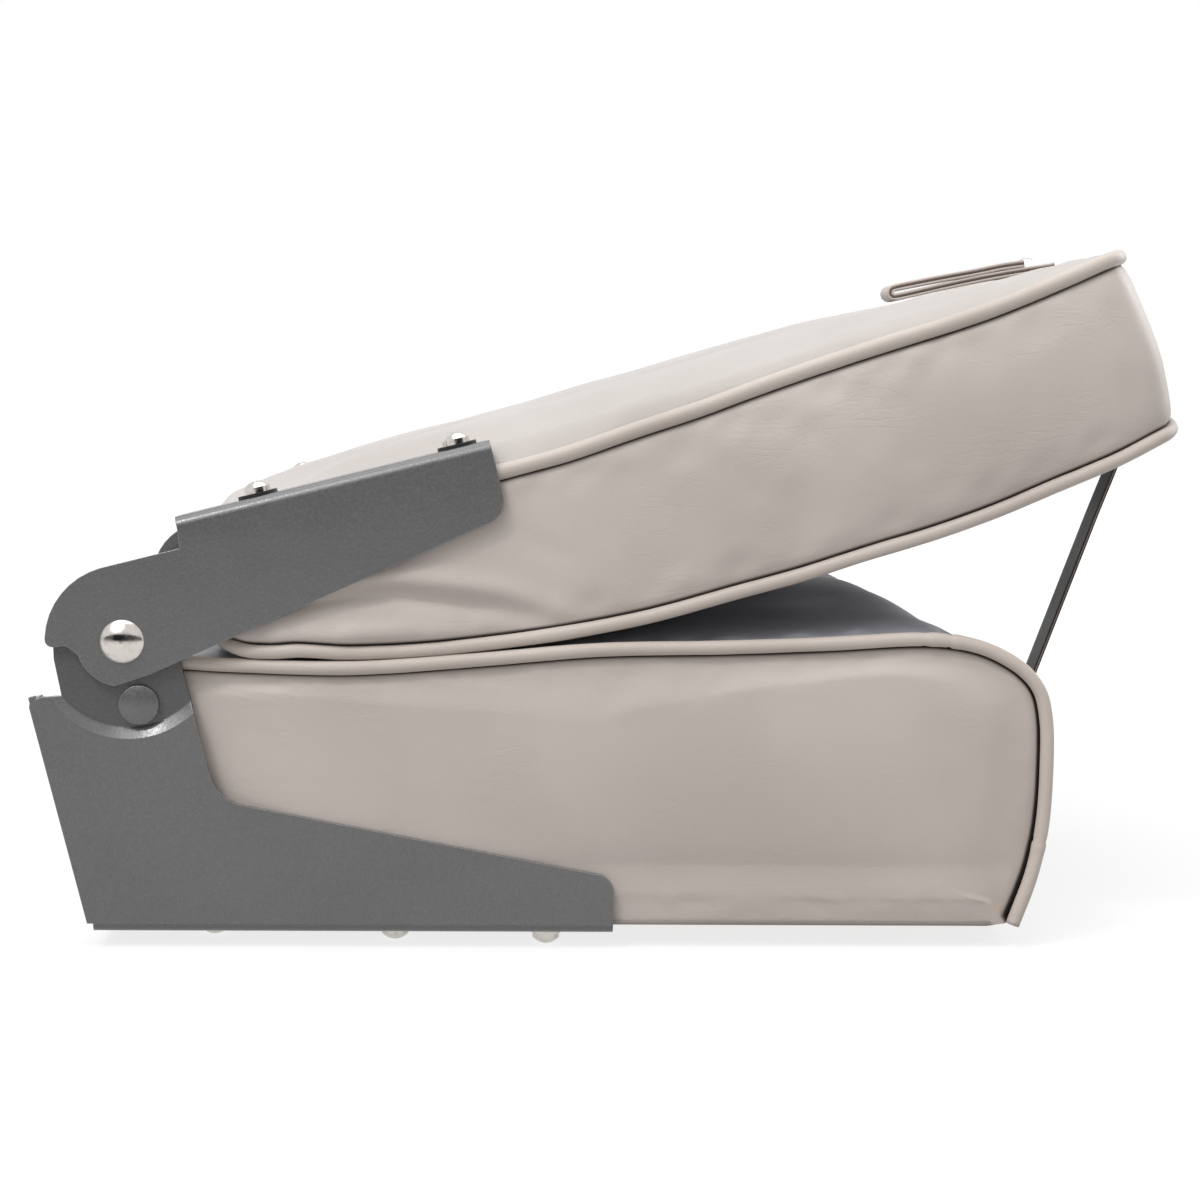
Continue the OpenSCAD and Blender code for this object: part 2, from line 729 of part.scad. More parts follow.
module ring(r0, r1, h) {
    difference() {
        cylinder(h = h, r = r1);
        translate([0, 0, -over]) cylinder(h = h + 2 * over, r = r0);
    }
}

module seat_bracket_screws() {
    color(steel)
    at_bracket_screws() translate([0, 0, foot_z - washer_t]) pan_screw(board_t - foot_z + washer_t - over);
}

module seat_bracket_washers() {
    color(steel)
    at_bracket_screws() translate([0, 0, foot_z - washer_t])
        ring(screw_r + hole_play, screw_head_r * 1.15, washer_t);
}

// Tie-down strap: its sewn tail is screwed under the board, and its free part swings at
// the front bottom edge of the seat
strap_root_x = rear_x + seat_len * 1.008;
strap_root_z = -hem_t - strap_t;
strap_screw_x = strap_root_x - 34;
anchor_screw_r = 2;
anchor_screw_len = 9;

module strap_anchor_tail() {
    x0 = strap_screw_x - strap_w * 0.6;
    color(charcoal)
    difference() {
        translate([x0, -strap_w / 2, -hem_t - strap_t])
            cube([strap_root_x - gap - x0, strap_w, strap_t]);
        translate([strap_screw_x, 0, -hem_t - strap_t - over])
            cylinder(h = strap_t + 2 * over, r = anchor_screw_r + hole_play);
    }
}

module strap_anchor_screw() {
    color(steel)
    translate([strap_screw_x, 0, -hem_t - strap_t])
        union() {
            rotate([180, 0, 0]) dome(anchor_screw_r * 2.8, anchor_screw_r * 1.2);
            cylinder(h = anchor_screw_len + strap_t, r = anchor_screw_r);
        }
}

// Arm outline in the backrest's frame, in shares of the arm's length and height, with
// corner radii in shares of the lobe's radius
arm_low_shares = [[1, 0.9, 0], [1, 0.28, 0.32], [0.933, 0.242, 0.32], [0.045, -0.36, 0.2]];
arm_notch_share = [-0.135, 0.085, 0.12];
arm_corner_share = 0.1;
// The arm's heel turns just inside the stop rivet's head, up to the notch that meets it
heel_r = norm(stop_shares) * lobe_r - stop_head_r - 1.5 * gap;
arm_step_share = 0.2;

module hinge_arm_right() {
    low = [for (s = arm_low_shares) [s[0] * arm_len, s[1] * arm_h, s[2] * lobe_r]];
    turn = arc([0, 0], heel_r, 246, 184, 8);
    heel = [for (i = [0 : 8]) [turn[i][0], turn[i][1], i == 0 ? arm_corner_share * lobe_r : 0]];
    notch = [arm_notch_share[0] * arm_len, arm_notch_share[1] * arm_h, arm_notch_share[2] * lobe_r];
    step_u = arm_step_share * arm_len;
    top_v = arm_h - bend_r - plate_t;
    nose = [lobe_r * cos(171), lobe_r * sin(171)];
    corner = rounded(concat(
        low,
        heel,
        [notch, [nose[0], nose[1], arm_corner_share * lobe_r]],
        [for (p = arc([0, 0], lobe_r, 163, 92, 8)) [p[0], p[1], 0]],
        [[step_u - over, lobe_r, over], [step_u, top_v, 0], [arm_len, top_v, 0]]
    ));
    color(grey_paint)
    in_backrest()
    difference() {
        union() {
            translate([0, -half_w + plate_t, 0]) rotate([90, 0, 0]) linear_extrude(plate_t) polygon(corner);
            translate([step_u, -half_w + bend_r + plate_t, top_v]) mirror([0, 0, 1]) bend(arm_len - step_u);
            translate([0, 0, arm_h - plate_t])
                linear_extrude(plate_t)
                    polygon(rounded([
                        [step_u, -half_w + bend_r + plate_t, 0], [arm_len, -half_w + bend_r + plate_t, 0],
                        [arm_len - bend_r, -half_w + arm_flange, 4 * bend_r],
                        [step_u, -half_w + arm_flange, 4 * bend_r]
                    ]));
        }
        translate([0, -half_w + plate_t + over, 0])
            rotate([90, 0, 0]) cylinder(h = plate_t + 2 * over, r = pivot_r + turn_play);
        at_arm_screws() translate([0, 0, arm_h - plate_t - over])
            cylinder(h = plate_t + 2 * over, r = screw_r + hole_play);
    }
}

module hinge_arm_left() {
    left() hinge_arm_right();
}

// Backrest outline in plan and its normals
back_half_w = back_pipe_y + pipe_r;
back_half = [for (s = back_plan_shares) [back_at(s[0]), s[1] * back_half_w]];
back_ring = concat(
    back_half,
    [for (i = [len(back_half) - 2 : -1 : 1]) [back_half[i][0], -back_half[i][1]]]
);
back_n = path_normals(back_ring, true);
back_count = len(back_ring);
back_mid = [back_start + back_len / 2, 0];
back_end = back_half[len(back_half) - 1][0];

function back_at(share) = back_start + back_len * share;
function back_share(u) = (u - back_start) / back_len;
function front_v(u) = back_t * lookup(back_share(u), front_line_shares);
function rear_v(u) = back_t * lookup(back_share(u), back_line_shares);
function rear_crown_v(u) = back_crown * lookup(back_share(u), back_crown_line_shares);
function front_crown_v(u) = front_crown * lookup(back_share(u), front_crown_line_shares);
function boxing_bulge_v(u) = back_bulge * lookup(back_share(u), boxing_bulge_line_shares);

// Point drawn back by the lean of the top end, which starts over the press stud
function leaned(p) =
    [p[0] - back_lean * ramp(p[0], back_at(lean_from_share), back_at(lean_to_share))
        * ramp(p[2], stud_r, rear_v(p[0])), p[1], p[2]];

// Plan point i drawn in along its normal, or towards the middle by a share
function plan_in(i, inset) = back_ring[i] - back_n[i] * inset;
function plan_scaled(i, k) = back_mid + (back_ring[i] - back_mid) * k;

// Share of the crown at plan point i, from its shares at the sides and at the hinge end
function crown_share(i, f, g) =
    back_ring[i][0] > back_mid[0] ? f
    : g + (f - g) * ramp(abs(back_ring[i][1]) / back_half_w, end_fill_shares[0], end_fill_shares[1]);

function rear_ring(inset, drop, f, g) =
    [for (i = [0 : back_count - 1])
        let (p = plan_in(i, inset), u = back_ring[i][0])
        leaned([p[0], p[1], rear_v(u) - pipe_proud - drop + crown_share(i, f, g) * rear_crown_v(u)])];
function rear_scaled(s, drop) =
    [for (i = [0 : back_count - 1])
        let (p = plan_scaled(i, s[0]), u = p[0])
        leaned([u, p[1], rear_v(u) - pipe_proud - drop + crown_share(i, s[1], s[2]) * rear_crown_v(u)])];
function front_ring(inset, lift, f) =
    [for (i = [0 : back_count - 1])
        let (p = plan_in(i, inset), u = back_ring[i][0])
        [p[0], p[1], front_v(u) + pipe_proud + lift - f * front_crown_v(u)]];
function front_scaled(s, lift) =
    [for (i = [0 : back_count - 1])
        let (p = plan_scaled(i, s[0]), u = p[0])
        [u, p[1], front_v(u) + pipe_proud + lift - s[1] * front_crown_v(u)]];
function rear_middle(drop) =
    let (u = back_mid[0]) [u, 0, rear_v(u) - pipe_proud - drop + rear_crown_v(u)];
function front_middle(lift) =
    let (u = back_mid[0]) [u, 0, front_v(u) + pipe_proud + lift - front_crown_v(u)];
function flat_ring(inset, v) =
    [for (i = [0 : back_count - 1]) let (p = plan_in(i, inset)) leaned([p[0], p[1], v])];

edge_inset = pipe_r + pipe_clear;
board_inset = edge_inset + 1;
board_top = back_t * 0.36 - pipe_proud - 1;
board_low = board_top - back_board_t;

module backrest_board() {
    color(wood)
    in_backrest()
    difference() {
        translate([0, 0, board_low])
            linear_extrude(back_board_t)
                polygon([for (p = flat_ring(board_inset, board_top)) [p[0], p[1]]]);
        at_arm_screws() translate([0, 0, board_low - over])
            cylinder(h = back_board_t + 2 * over, r = insert_r + turn_play);
    }
}

module backrest_inserts() {
    color(steel)
    in_backrest()
    at_arm_screws() translate([0, 0, board_low]) ring(screw_r + turn_play, insert_r, back_board_t);
}

module backrest_screws() {
    color(steel)
    in_backrest()
    at_arm_screws() translate([0, 0, arm_h + washer_t])
        rotate([180, 0, 0]) pan_screw(arm_h + washer_t - board_low - over);
}

module backrest_washers() {
    color("black")
    in_backrest()
    at_arm_screws() translate([0, 0, arm_h]) ring(screw_r + hole_play, washer_r, washer_t);
}

module arm_screw_holes(z0, z1) {
    at_arm_screws() translate([0, 0, z0]) cylinder(h = z1 - z0, r = screw_r + hole_play);
}

module backrest_foam() {
    top = board_low - gap;
    lift = vinyl_t + 3 * foam_play;
    color("lightyellow")
    in_backrest()
    skin(
        [
            front_scaled(front_ring_shares[1], lift),
            front_scaled(front_ring_shares[0], lift),
            front_ring(edge_inset + foam_play, lift + foam_play, 0),
            front_ring(foam_inset + gap, pipe_r + foam_in, 0),
            flat_ring(foam_inset + gap, top)
        ],
        [front_middle(lift), [back_mid[0], 0, top]]
    );
}

module backrest_rear_pad() {
    low = board_top + gap;
    drop = vinyl_t + 3 * foam_play;
    color("lightyellow")
    in_backrest()
    difference() {
        skin(
            [
                flat_ring(rim_inset + gap, low),
                rear_ring(rim_inset + gap, drop + foam_play, rim_crown_share, rim_end_share),
                rear_scaled(back_ring_shares[0], drop),
                rear_scaled(back_ring_shares[1], drop),
                rear_scaled(back_ring_shares[2], drop)
            ],
            [[back_mid[0], 0, low], rear_middle(drop)]
        );
        arm_screw_holes(low - over, arm_h);
    }
}

module backrest_front_panel() {
    color(charcoal)
    in_backrest()
    skin(
        [
            front_scaled(front_ring_shares[1], 0),
            front_scaled(front_ring_shares[0], 0),
            front_ring(edge_inset, 0, 0),
            front_ring(edge_inset, vinyl_t, 0),
            front_scaled(front_ring_shares[0], vinyl_t),
            front_scaled(front_ring_shares[1], vinyl_t)
        ],
        [front_middle(0), front_middle(vinyl_t)]
    );
}

module backrest_back_panel() {
    color(vinyl)
    in_backrest()
    difference() {
        skin(
            [
                rear_scaled(back_ring_shares[2], vinyl_t),
                rear_scaled(back_ring_shares[1], vinyl_t),
                rear_scaled(back_ring_shares[0], vinyl_t),
                rear_ring(rim_inset, vinyl_t, rim_crown_share, rim_end_share),
                rear_ring(edge_inset, vinyl_t, 0, 0),
                rear_ring(edge_inset, 0, 0, 0),
                rear_ring(rim_inset, 0, rim_crown_share, rim_end_share),
                rear_scaled(back_ring_shares[0], 0),
                rear_scaled(back_ring_shares[1], 0),
                rear_scaled(back_ring_shares[2], 0)
            ],
            [rear_middle(vinyl_t), rear_middle(0)]
        );
        arm_screw_holes(board_top, arm_h);
    }
}

// Boxing: a band round the outline between the two pipings, bulged between them
boxing_station_shares = [0, 0.33, 0.67, 1];

module backrest_boxing() {
    rings = [for (i = [0 : back_count - 1])
        let (
            u = back_ring[i][0],
            v0 = front_v(u) + edge_inset,
            v1 = rear_v(u) - edge_inset,
            b = boxing_bulge_v(u)
        )
        concat(
            [for (s = boxing_station_shares)
                let (p = plan_in(i, panel_inset - b * 4 * s * (1 - s)))
                leaned([p[0], p[1], v0 + (v1 - v0) * s])],
            [for (k = [len(boxing_station_shares) - 1 : -1 : 0])
                let (s = boxing_station_shares[k], p = plan_in(i, inner_inset - b * 4 * s * (1 - s)))
                leaned([p[0], p[1], v0 + (v1 - v0) * s])]
        )];
    color(vinyl)
    in_backrest() skin(rings, loop = true, turned = true);
}

// Closed piping along the plan outline, on the front or the back line
module back_piping_loop(front) {
    rings = [for (i = [0 : back_count - 1])
        let (
            c = plan_in(i, pipe_r),
            u = back_ring[i][0],
            v = front ? front_v(u) + pipe_r : rear_v(u) - pipe_r
        )
        [for (k = [0 : pipe_sides - 1])
            let (a = 360 * k / pipe_sides, p = c + back_n[i] * pipe_r * cos(a))
            leaned([p[0], p[1], v + pipe_r * sin(a)])]];
    skin(rings, loop = true, turned = true);
}

module backrest_front_piping() {
    color(vinyl) in_backrest() back_piping_loop(true);
}

module backrest_back_piping() {
    color(vinyl) in_backrest() back_piping_loop(false);
}

// Flat strip of a given thickness along a path of points, as a closed outline
function strip(path, t) =
    let (n = path_normals(path, false), m = len(path) - 1)
    concat(
        [for (i = [0 : m]) path[i] + n[i] * t / 2],
        [for (i = [m : -1 : 0]) path[i] - n[i] * t / 2]
    );

// Pull tab on the back panel: a folded strap, sewn in at the top and closed by a snap
tab_t = strap_t * 1.3;
tab_fold_r = 5.2;
tab_from_share = 0.776;
tab_join_share = 0.9;
tab_snap_share = 0.93;
tab_to_share = 0.958;

function tab_seat_v(u) = rear_v(u) - pipe_proud + back_ring_shares[1][1] * rear_crown_v(u);
tab_low_v = tab_seat_v(back_at((tab_from_share + tab_to_share) / 2)) + 3 * gap + tab_t / 2;
tab_top_v = tab_low_v + tab_t + gap;

module pull_tab() {
    u0 = back_at(tab_from_share);
    um = back_at(tab_join_share);
    u1 = back_at(tab_to_share);
    color(vinyl)
    in_backrest()
    translate([0, strap_w / 2, 0])
        rotate([90, 0, 0])
            linear_extrude(strap_w)
                polygon(strip(concat(
                    [[u1, tab_low_v]],
                    arc([u0, tab_low_v + tab_fold_r], tab_fold_r, 270, 90, 8),
                    [[um, tab_top_v], [u1, tab_top_v]]
                ), tab_t));
}

module pull_tab_snap() {
    color(steel)
    in_backrest()
    translate([back_at(tab_snap_share), 0, tab_top_v + tab_t / 2]) dome(stud_r * 0.8, stud_r * 0.3);
}

// Face of the strap on the backrest's top end, just outside the piping
strap_face_u = back_end + gap;
stud_h = 3 * gap;

module strap_press_stud() {
    color(steel)
    in_backrest()
    translate([strap_face_u - turn_play - stud_h, 0, 0])
        rotate([0, 90, 0]) cylinder(h = stud_h, r = stud_r);
}

function to_world(p) =
    [pivot_x + p[0] * cos(fold_angle) - p[1] * sin(fold_angle),
        pivot_h + p[0] * sin(fold_angle) + p[1] * cos(fold_angle)];

module tie_down_strap() {
    c = strap_face_u + strap_t / 2;
    turn = to_world([c, -0.27 * back_t]);
    end = to_world([c, 0.2 * back_t]);
    start = [strap_root_x + strap_t / 2, strap_root_z + strap_t / 2];
    path = concat(
        [start],
        round_corner(start, turn, end, strap_w),
        [end]
    );
    color(charcoal)
    translate([0, strap_w / 2, 0])
        rotate([90, 0, 0])
            union() {
                linear_extrude(strap_w) polygon(strip(path, strap_t));
                translate([start[0], start[1], 0]) cylinder(h = strap_w, r = strap_t / 2);
            }
}

module strap_snap_cap() {
    color(steel)
    in_backrest()
    translate([strap_face_u + strap_t, 0, 0]) rotate([0, 90, 0]) dome(stud_r, stud_r * 0.35);
}

seat_base_board();
seat_foam();
seat_top_panel();
seat_side_panel_left();
seat_side_panel_right();
seat_piping_left();
seat_piping_right();
seat_hem();
seat_staples();
seat_mount_tee_nuts();
seat_bracket_tee_nuts();
lower_bracket_left();
lower_bracket_right();
seat_bracket_screws();
seat_bracket_washers();
pivot_rivet_left();
pivot_rivet_right();
stop_rivet_left();
stop_rivet_right();
strap_anchor_tail();
strap_anchor_screw();
pivot_washers();
hinge_arm_left();
hinge_arm_right();
backrest_board();
backrest_foam();
backrest_rear_pad();
backrest_front_panel();
backrest_boxing();
backrest_back_panel();
backrest_front_piping();
backrest_back_piping();
backrest_screws();
backrest_washers();
backrest_inserts();
pull_tab();
pull_tab_snap();
strap_press_stud();
tie_down_strap();
strap_snap_cap();
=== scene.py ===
"""Looks of a folding boat seat: sewn vinyl cushions on painted sheet-metal hinges, shown folded.

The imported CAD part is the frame. It keeps its hinges, screws, rivets and boards, which get
their finishes here, while the cushions' covers, piping, hem, strap and tab are modelled anew
in the space of their CAD solids. Shapes are worked out in millimetres as numpy grids, and
become metres when a mesh is made.
"""

import logging
import math
from dataclasses import dataclass, field
from enum import Enum
from typing import Sequence

import bpy
import numpy as np
from mathutils import Matrix, Vector


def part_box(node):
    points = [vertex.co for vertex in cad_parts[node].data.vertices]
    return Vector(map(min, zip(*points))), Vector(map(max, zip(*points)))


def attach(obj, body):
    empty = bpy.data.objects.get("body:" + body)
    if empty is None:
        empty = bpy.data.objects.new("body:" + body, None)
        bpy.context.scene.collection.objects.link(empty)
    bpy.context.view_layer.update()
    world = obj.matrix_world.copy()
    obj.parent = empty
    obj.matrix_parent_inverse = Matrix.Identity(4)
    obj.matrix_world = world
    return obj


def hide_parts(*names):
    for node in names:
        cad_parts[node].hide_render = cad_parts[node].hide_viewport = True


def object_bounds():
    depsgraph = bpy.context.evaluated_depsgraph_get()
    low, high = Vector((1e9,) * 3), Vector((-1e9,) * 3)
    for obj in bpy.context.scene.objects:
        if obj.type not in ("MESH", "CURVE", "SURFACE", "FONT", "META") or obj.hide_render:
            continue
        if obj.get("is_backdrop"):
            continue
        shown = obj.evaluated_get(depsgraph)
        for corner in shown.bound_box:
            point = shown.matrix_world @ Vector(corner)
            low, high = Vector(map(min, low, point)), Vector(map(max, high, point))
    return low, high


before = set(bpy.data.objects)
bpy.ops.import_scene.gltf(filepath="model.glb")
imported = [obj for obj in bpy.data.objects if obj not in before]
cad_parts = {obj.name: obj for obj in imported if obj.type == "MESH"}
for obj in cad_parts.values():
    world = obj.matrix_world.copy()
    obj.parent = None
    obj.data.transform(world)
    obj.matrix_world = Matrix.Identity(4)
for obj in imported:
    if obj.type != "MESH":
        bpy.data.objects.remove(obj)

LOG = logging.getLogger("boat_seat")
MM = 0.001
Array = np.ndarray
Table = Sequence[Sequence[float]]
Piece = bpy.types.Object
Tree = bpy.types.NodeTree
Socket = bpy.types.NodeSocket


class Side(Enum):
    """Sides of the seat, by the sign of Y."""

    RIGHT = -1
    LEFT = 1


class Grain(Enum):
    """How strongly a vinyl cover shows its creases."""

    TIGHT = 0.35
    SOFT = 0.7
    CREASED = 1.0


# Working with shapes


def blend(value: Array, low: float, high: float) -> Array:
    """Smooth step from 0 at low to 1 at high.

    Args:
        value: Where to take it.
        low: Last value that gives 0.
        high: First value that gives 1.

    Returns:
        3k^2 - 2k^3 of the clipped share k.
    """
    k = np.clip((value - low) / (high - low), 0.0, 1.0)
    return k * k * (3.0 - 2.0 * k)


def slopes(t: Array, p: Array) -> Array:
    """Slopes of a smooth curve through points, each a mean of its two runs, weighted by the other's step.

    Args:
        t: Parameter of each point, rising.
        p: Points, one a row.

    Returns:
        One slope a row.
    """
    step = np.diff(t)[:, None]
    run = np.diff(p, axis=0) / step
    inner = (run[:-1] * step[1:] + run[1:] * step[:-1]) / (step[1:] + step[:-1])
    return np.vstack([run[:1], inner, run[-1:]])


def hermite(t: Array, p: Array, at: Array) -> Array:
    """Smooth curve through points: a cubic between each two that keeps their slopes.

    Args:
        t: Parameter of each point, rising.
        p: Points, one a row.
        at: Parameters at which it is taken.

    Returns:
        One place a row.
    """
    m = slopes(t, p)
    i = np.clip(np.searchsorted(t, at, side="right") - 1, 0, len(t) - 2)
    h = (t[i + 1] - t[i])[:, None]
    k = ((at - t[i]) / (t[i + 1] - t[i]))[:, None]
    start = (2 * k**3 - 3 * k**2 + 1) * p[i] + (k**3 - 2 * k**2 + k) * h * m[i]
    end = (3 * k**2 - 2 * k**3) * p[i + 1] + (k**3 - k**2) * h * m[i + 1]
    return start + end


def line_at(table: Table, at: Array) -> Array:
    """Value of a drawn line: the smooth curve through its pairs, level beyond its ends.

    Args:
        table: Pairs of place and value.
        at: Places at which it is taken.

    Returns:
        One value for each place.
    """
    pairs = np.array(table, float)
    flat = np.clip(np.ravel(at), pairs[0, 0], pairs[-1, 0])
    return hermite(pairs[:, 0], pairs[:, 1:2], flat)[:, 0].reshape(np.shape(at))


def smooth_path(points: Array, count: int, closed: bool = False, fineness: int = 16) -> Array:
    """Smooth path through points, with an even step along it.

    Args:
        points: Points, one a row.
        count: How many points the path gets.
        closed: Whether it returns to its first point, which isn't repeated.
        fineness: Steps in which each step of the path is measured.

    Returns:
        The path's points, one a row.
    """
    p = np.array(points, float)
    if closed:
        p = np.vstack([p[-3:], p, p[:3]])
    t = np.concatenate([[0.0], np.cumsum(np.sqrt(np.linalg.norm(np.diff(p, axis=0), axis=1)))])
    low, high = (t[3], t[-3]) if closed else (t[0], t[-1])
    fine = hermite(t, p, np.linspace(low, high, fineness * count))
    way = np.concatenate([[0.0], np.cumsum(np.linalg.norm(np.diff(fine, axis=0), axis=1))])
    stops = np.linspace(0.0, way[-1], count + 1)[:-1] if closed else np.linspace(0.0, way[-1], count)
    return np.stack([np.interp(stops, way, fine[:, k]) for k in range(p.shape[1])], axis=1)


def left_normals(path: Array, closed: bool) -> Array:
    """Unit normals on the left of a flat path: its way from neighbour to neighbour, turned by a quarter.

    Args:
        path: Its points, one a row.
        closed: Whether it returns to its first point.

    Returns:
        One normal a row.
    """
    ahead = np.roll(path, -1, axis=0) - np.roll(path, 1, axis=0)
    if not closed:
        ahead[0], ahead[-1] = path[1] - path[0], path[-1] - path[-2]
    ahead /= np.linalg.norm(ahead, axis=1)[:, None]
    return np.stack([-ahead[:, 1], ahead[:, 0]], axis=1)


def ripple(points: Array, length: float, seed: int, waves: int = 9) -> Array:
    """Soft unevenness between about -1 and 1: a sum of sine waves in seeded directions.

    Args:
        points: Places in millimetres, in the last axis.
        length: Mean length of a wave in millimetres.
        seed: Which unevenness it is.
        waves: How many waves are added.

    Returns:
        One value for each place.
    """
    draw = np.random.default_rng(seed)
    way = draw.normal(size=(waves, 3))
    way /= np.linalg.norm(way, axis=1)[:, None]
    turn = 2 * np.pi / (length * draw.uniform(0.6, 1.6, waves))
    phase = draw.uniform(0, 2 * np.pi, waves)
    return np.sin(points @ (way * turn[:, None]).T + phase).sum(-1) / math.sqrt(waves)


@dataclass(frozen=True)
class Unevenness:
    """How a sewn cover leaves its drawn form: gathers beside its seams, slow waves further in.

    Attributes:
        gather: Height of the gathers, and so on in millimetres.
        gather_length: Length of their waves.
        wave: Height of the slow waves.
        wave_length: Their length.
        grown: Distances from the piping between which the slow waves grow.
        seeds: Which gathers and which waves they are.
        reach: Half width of the strip of gathers.
        peak: Its distance from the piping.
    """

    gather: float
    gather_length: float
    wave: float
    wave_length: float
    grown: tuple[float, float]
    seeds: tuple[int, int]
    reach: float = 8.0
    peak: float = 9.0

    def at(self, places: Array, q: Array, shift: int = 0) -> Array:
        """A ripple under a bell across the strip, and a longer one that grows away from the seam.

        Args:
            places: Places on the cover.
            q: Their distances from the piping.
            shift: Added to the seeds.

        Returns:
            How far each place is moved out.
        """
        bell = np.exp(-(((q - self.peak) / self.reach) ** 2))
        gathers = ripple(places, self.gather_length, self.seeds[0] + shift)
        waves = ripple(places, self.wave_length, self.seeds[1] + shift)
        return self.gather * gathers * bell + self.wave * waves * blend(q, *self.grown)


@dataclass(frozen=True)
class Fold:
    """A soft fold in a cover: a valley, or a ridge where its depth is negative.

    Attributes:
        line: Flat points that it follows, in millimetres.
        width: Half width in millimetres.
        depth: Depth in millimetres.
    """

    line: Table
    width: float
    depth: float

    def near(self, places: Array) -> tuple[Array, Array]:
        """Distance of flat places from the fold's line, and how far along it they lie.

        Args:
            places: Flat places, in the last axis.

        Returns:
            The distances, and shares of the line's length from 0 to 1.
        """
        p = np.array(self.line, float)
        best = np.full(places.shape[:-1], np.inf)
        share = np.zeros(places.shape[:-1])
        length = np.linalg.norm(np.diff(p, axis=0), axis=1)
        start = np.concatenate([[0.0], np.cumsum(length)])
        for k, (a, b) in enumerate(zip(p[:-1], p[1:])):
            t = np.clip(((places - a) @ (b - a)) / length[k] ** 2, 0, 1)
            d = np.linalg.norm(places - (a + t[..., None] * (b - a)), axis=-1)
            share = np.where(d < best, (start[k] + t * length[k]) / start[-1], share)
            best = np.minimum(best, d)
        return best, share

    def sink(self, places: Array) -> Array:
        """How far the fold draws the cover in: a bell across it that fades at its ends.

        Args:
            places: Flat places, in the last axis.

        Returns:
            One depth for each place.
        """
        d, share = self.near(places)
        fade = np.sin(np.pi * np.clip(share, 0.02, 0.98)) ** 0.5
        return self.depth * fade * np.exp(-((d / self.width) ** 2))


def grid_faces(rows: int, cols: int, loop: bool) -> Array:
    """Quads of a grid, each of a place, the next in its row and the two below.

    Args:
        rows: Rows of the grid.
        cols: Columns of the grid.
        loop: Whether the columns close into a loop.

    Returns:
        Four indices a row.
    """
    i, j = np.meshgrid(np.arange(rows - 1), np.arange(cols if loop else cols - 1), indexing="ij")
    k = (j + 1) % cols
    quads = np.stack([i * cols + j, i * cols + k, (i + 1) * cols + k, (i + 1) * cols + j], -1)
    return quads.reshape(-1, 4)


def facing_out(points: Array, faces: list[Array], outwards: Array) -> list[Array]:
    """Faces turned so that, summed up, their normals look out of the surface.

    Args:
        points: Vertices, one a row.
        faces: Groups of faces that all run the same way round.
        outwards: For each vertex, a direction that points out of the surface.

    Returns:
        The same groups, all turned round where needed.
    """
    quads = faces[0]
    a, b, c = points[quads[:, 0]], points[quads[:, 1]], points[quads[:, 2]]
    side = (np.cross(b - a, c - a) * outwards[quads[:, 1]]).sum()
    return [f[:, ::-1] for f in faces] if side < 0 else faces


def make_piece(
    name: str,
    grid: Array,
    outwards: Array,
    loop: bool = False,
    pole: Array | None = None,
    seam: Array | None = None,
) -> Piece:
    """Mesh object from a grid of places in millimetres.

    Args:
        name: Name of the piece.
        grid: Places, rows by columns by three.
        outwards: Direction out of the surface, in the grid's form or as one vector.
        loop: Whether the columns close into a loop.
        pole: Point that closes the last row, if there is one.
        seam: How dark the seam's dirt and painted shade is at each place, kept as an attribute.

    Returns:
        The object, at the origin, in metres.
    """
    rows, cols = grid.shape[:2]
    points = grid.reshape(-1, 3)
    out = np.broadcast_to(outwards, grid.shape).reshape(-1, 3)
    faces = [grid_faces(rows, cols, loop)]
    if pole is not None:
        points = np.vstack([points, pole])
        out = np.vstack([out, out[-1]])
        last = (rows - 1) * cols + np.arange(cols)
        faces.append(np.stack([last, np.roll(last, -1), np.full(cols, rows * cols)], 1))
    faces = facing_out(points, faces, out)
    mesh = bpy.data.meshes.new(name)
    mesh.from_pydata((points * MM).tolist(), [], [f for g in faces for f in g.tolist()])
    if seam is not None:
        flat = np.asarray(seam, np.float32).ravel()
        flat = np.concatenate([flat, flat[-1:]]) if pole is not None else flat
        mesh.attributes.new("seam", "FLOAT", "POINT").data.foreach_set("value", flat)
    mesh.polygons.foreach_set("use_smooth", np.ones(len(mesh.polygons), bool))
    mesh.update()
    piece = bpy.data.objects.new(name, mesh)
    bpy.context.scene.collection.objects.link(piece)
    return piece


def swept(path: Array, across: Array, up: Array, profile: Array, closed: bool = False) -> Array:
    """Grid of a profile carried along a path: each ring is its point plus the profile's two shares.

    Args:
        path: Points of the path, one a row.
        across: Unit vectors for the profile's first number, one a row.
        up: Unit vectors for the profile's second number, one a row.
        profile: Places in millimetres: for each point of the path or alike for all.
        closed: Whether the first ring is repeated at the end.

    Returns:
        One ring a row.
    """
    shape = np.broadcast_to(profile, (len(path), *profile.shape[-2:]))
    rings = path[:, None] + shape[..., :1] * across[:, None] + shape[..., 1:] * up[:, None]
    return np.concatenate([rings, rings[:1]]) if closed else rings


def capped(grid: Array, middle: Array, inner: float, outer: float) -> tuple[Array, Array]:
    """A tube's rings with two shrunken ones before the first and after the last, which close it.

    Args:
        grid: One ring a row.
        middle: Middle of each ring.
        inner: Size of the innermost ring, as a share.
        outer: Size of the ring between.

    Returns:
        The rings, and for each place a way out of the tube.
    """
    out = grid - middle[:, None]
    head = [middle[:1, None] + out[:1] * share for share in (inner, outer)]
    tail = [middle[-1:, None] + out[-1:] * share for share in (outer, inner)]
    return np.concatenate([*head, grid, *tail]), out[[0, 0, *range(len(out)), -1, -1]]


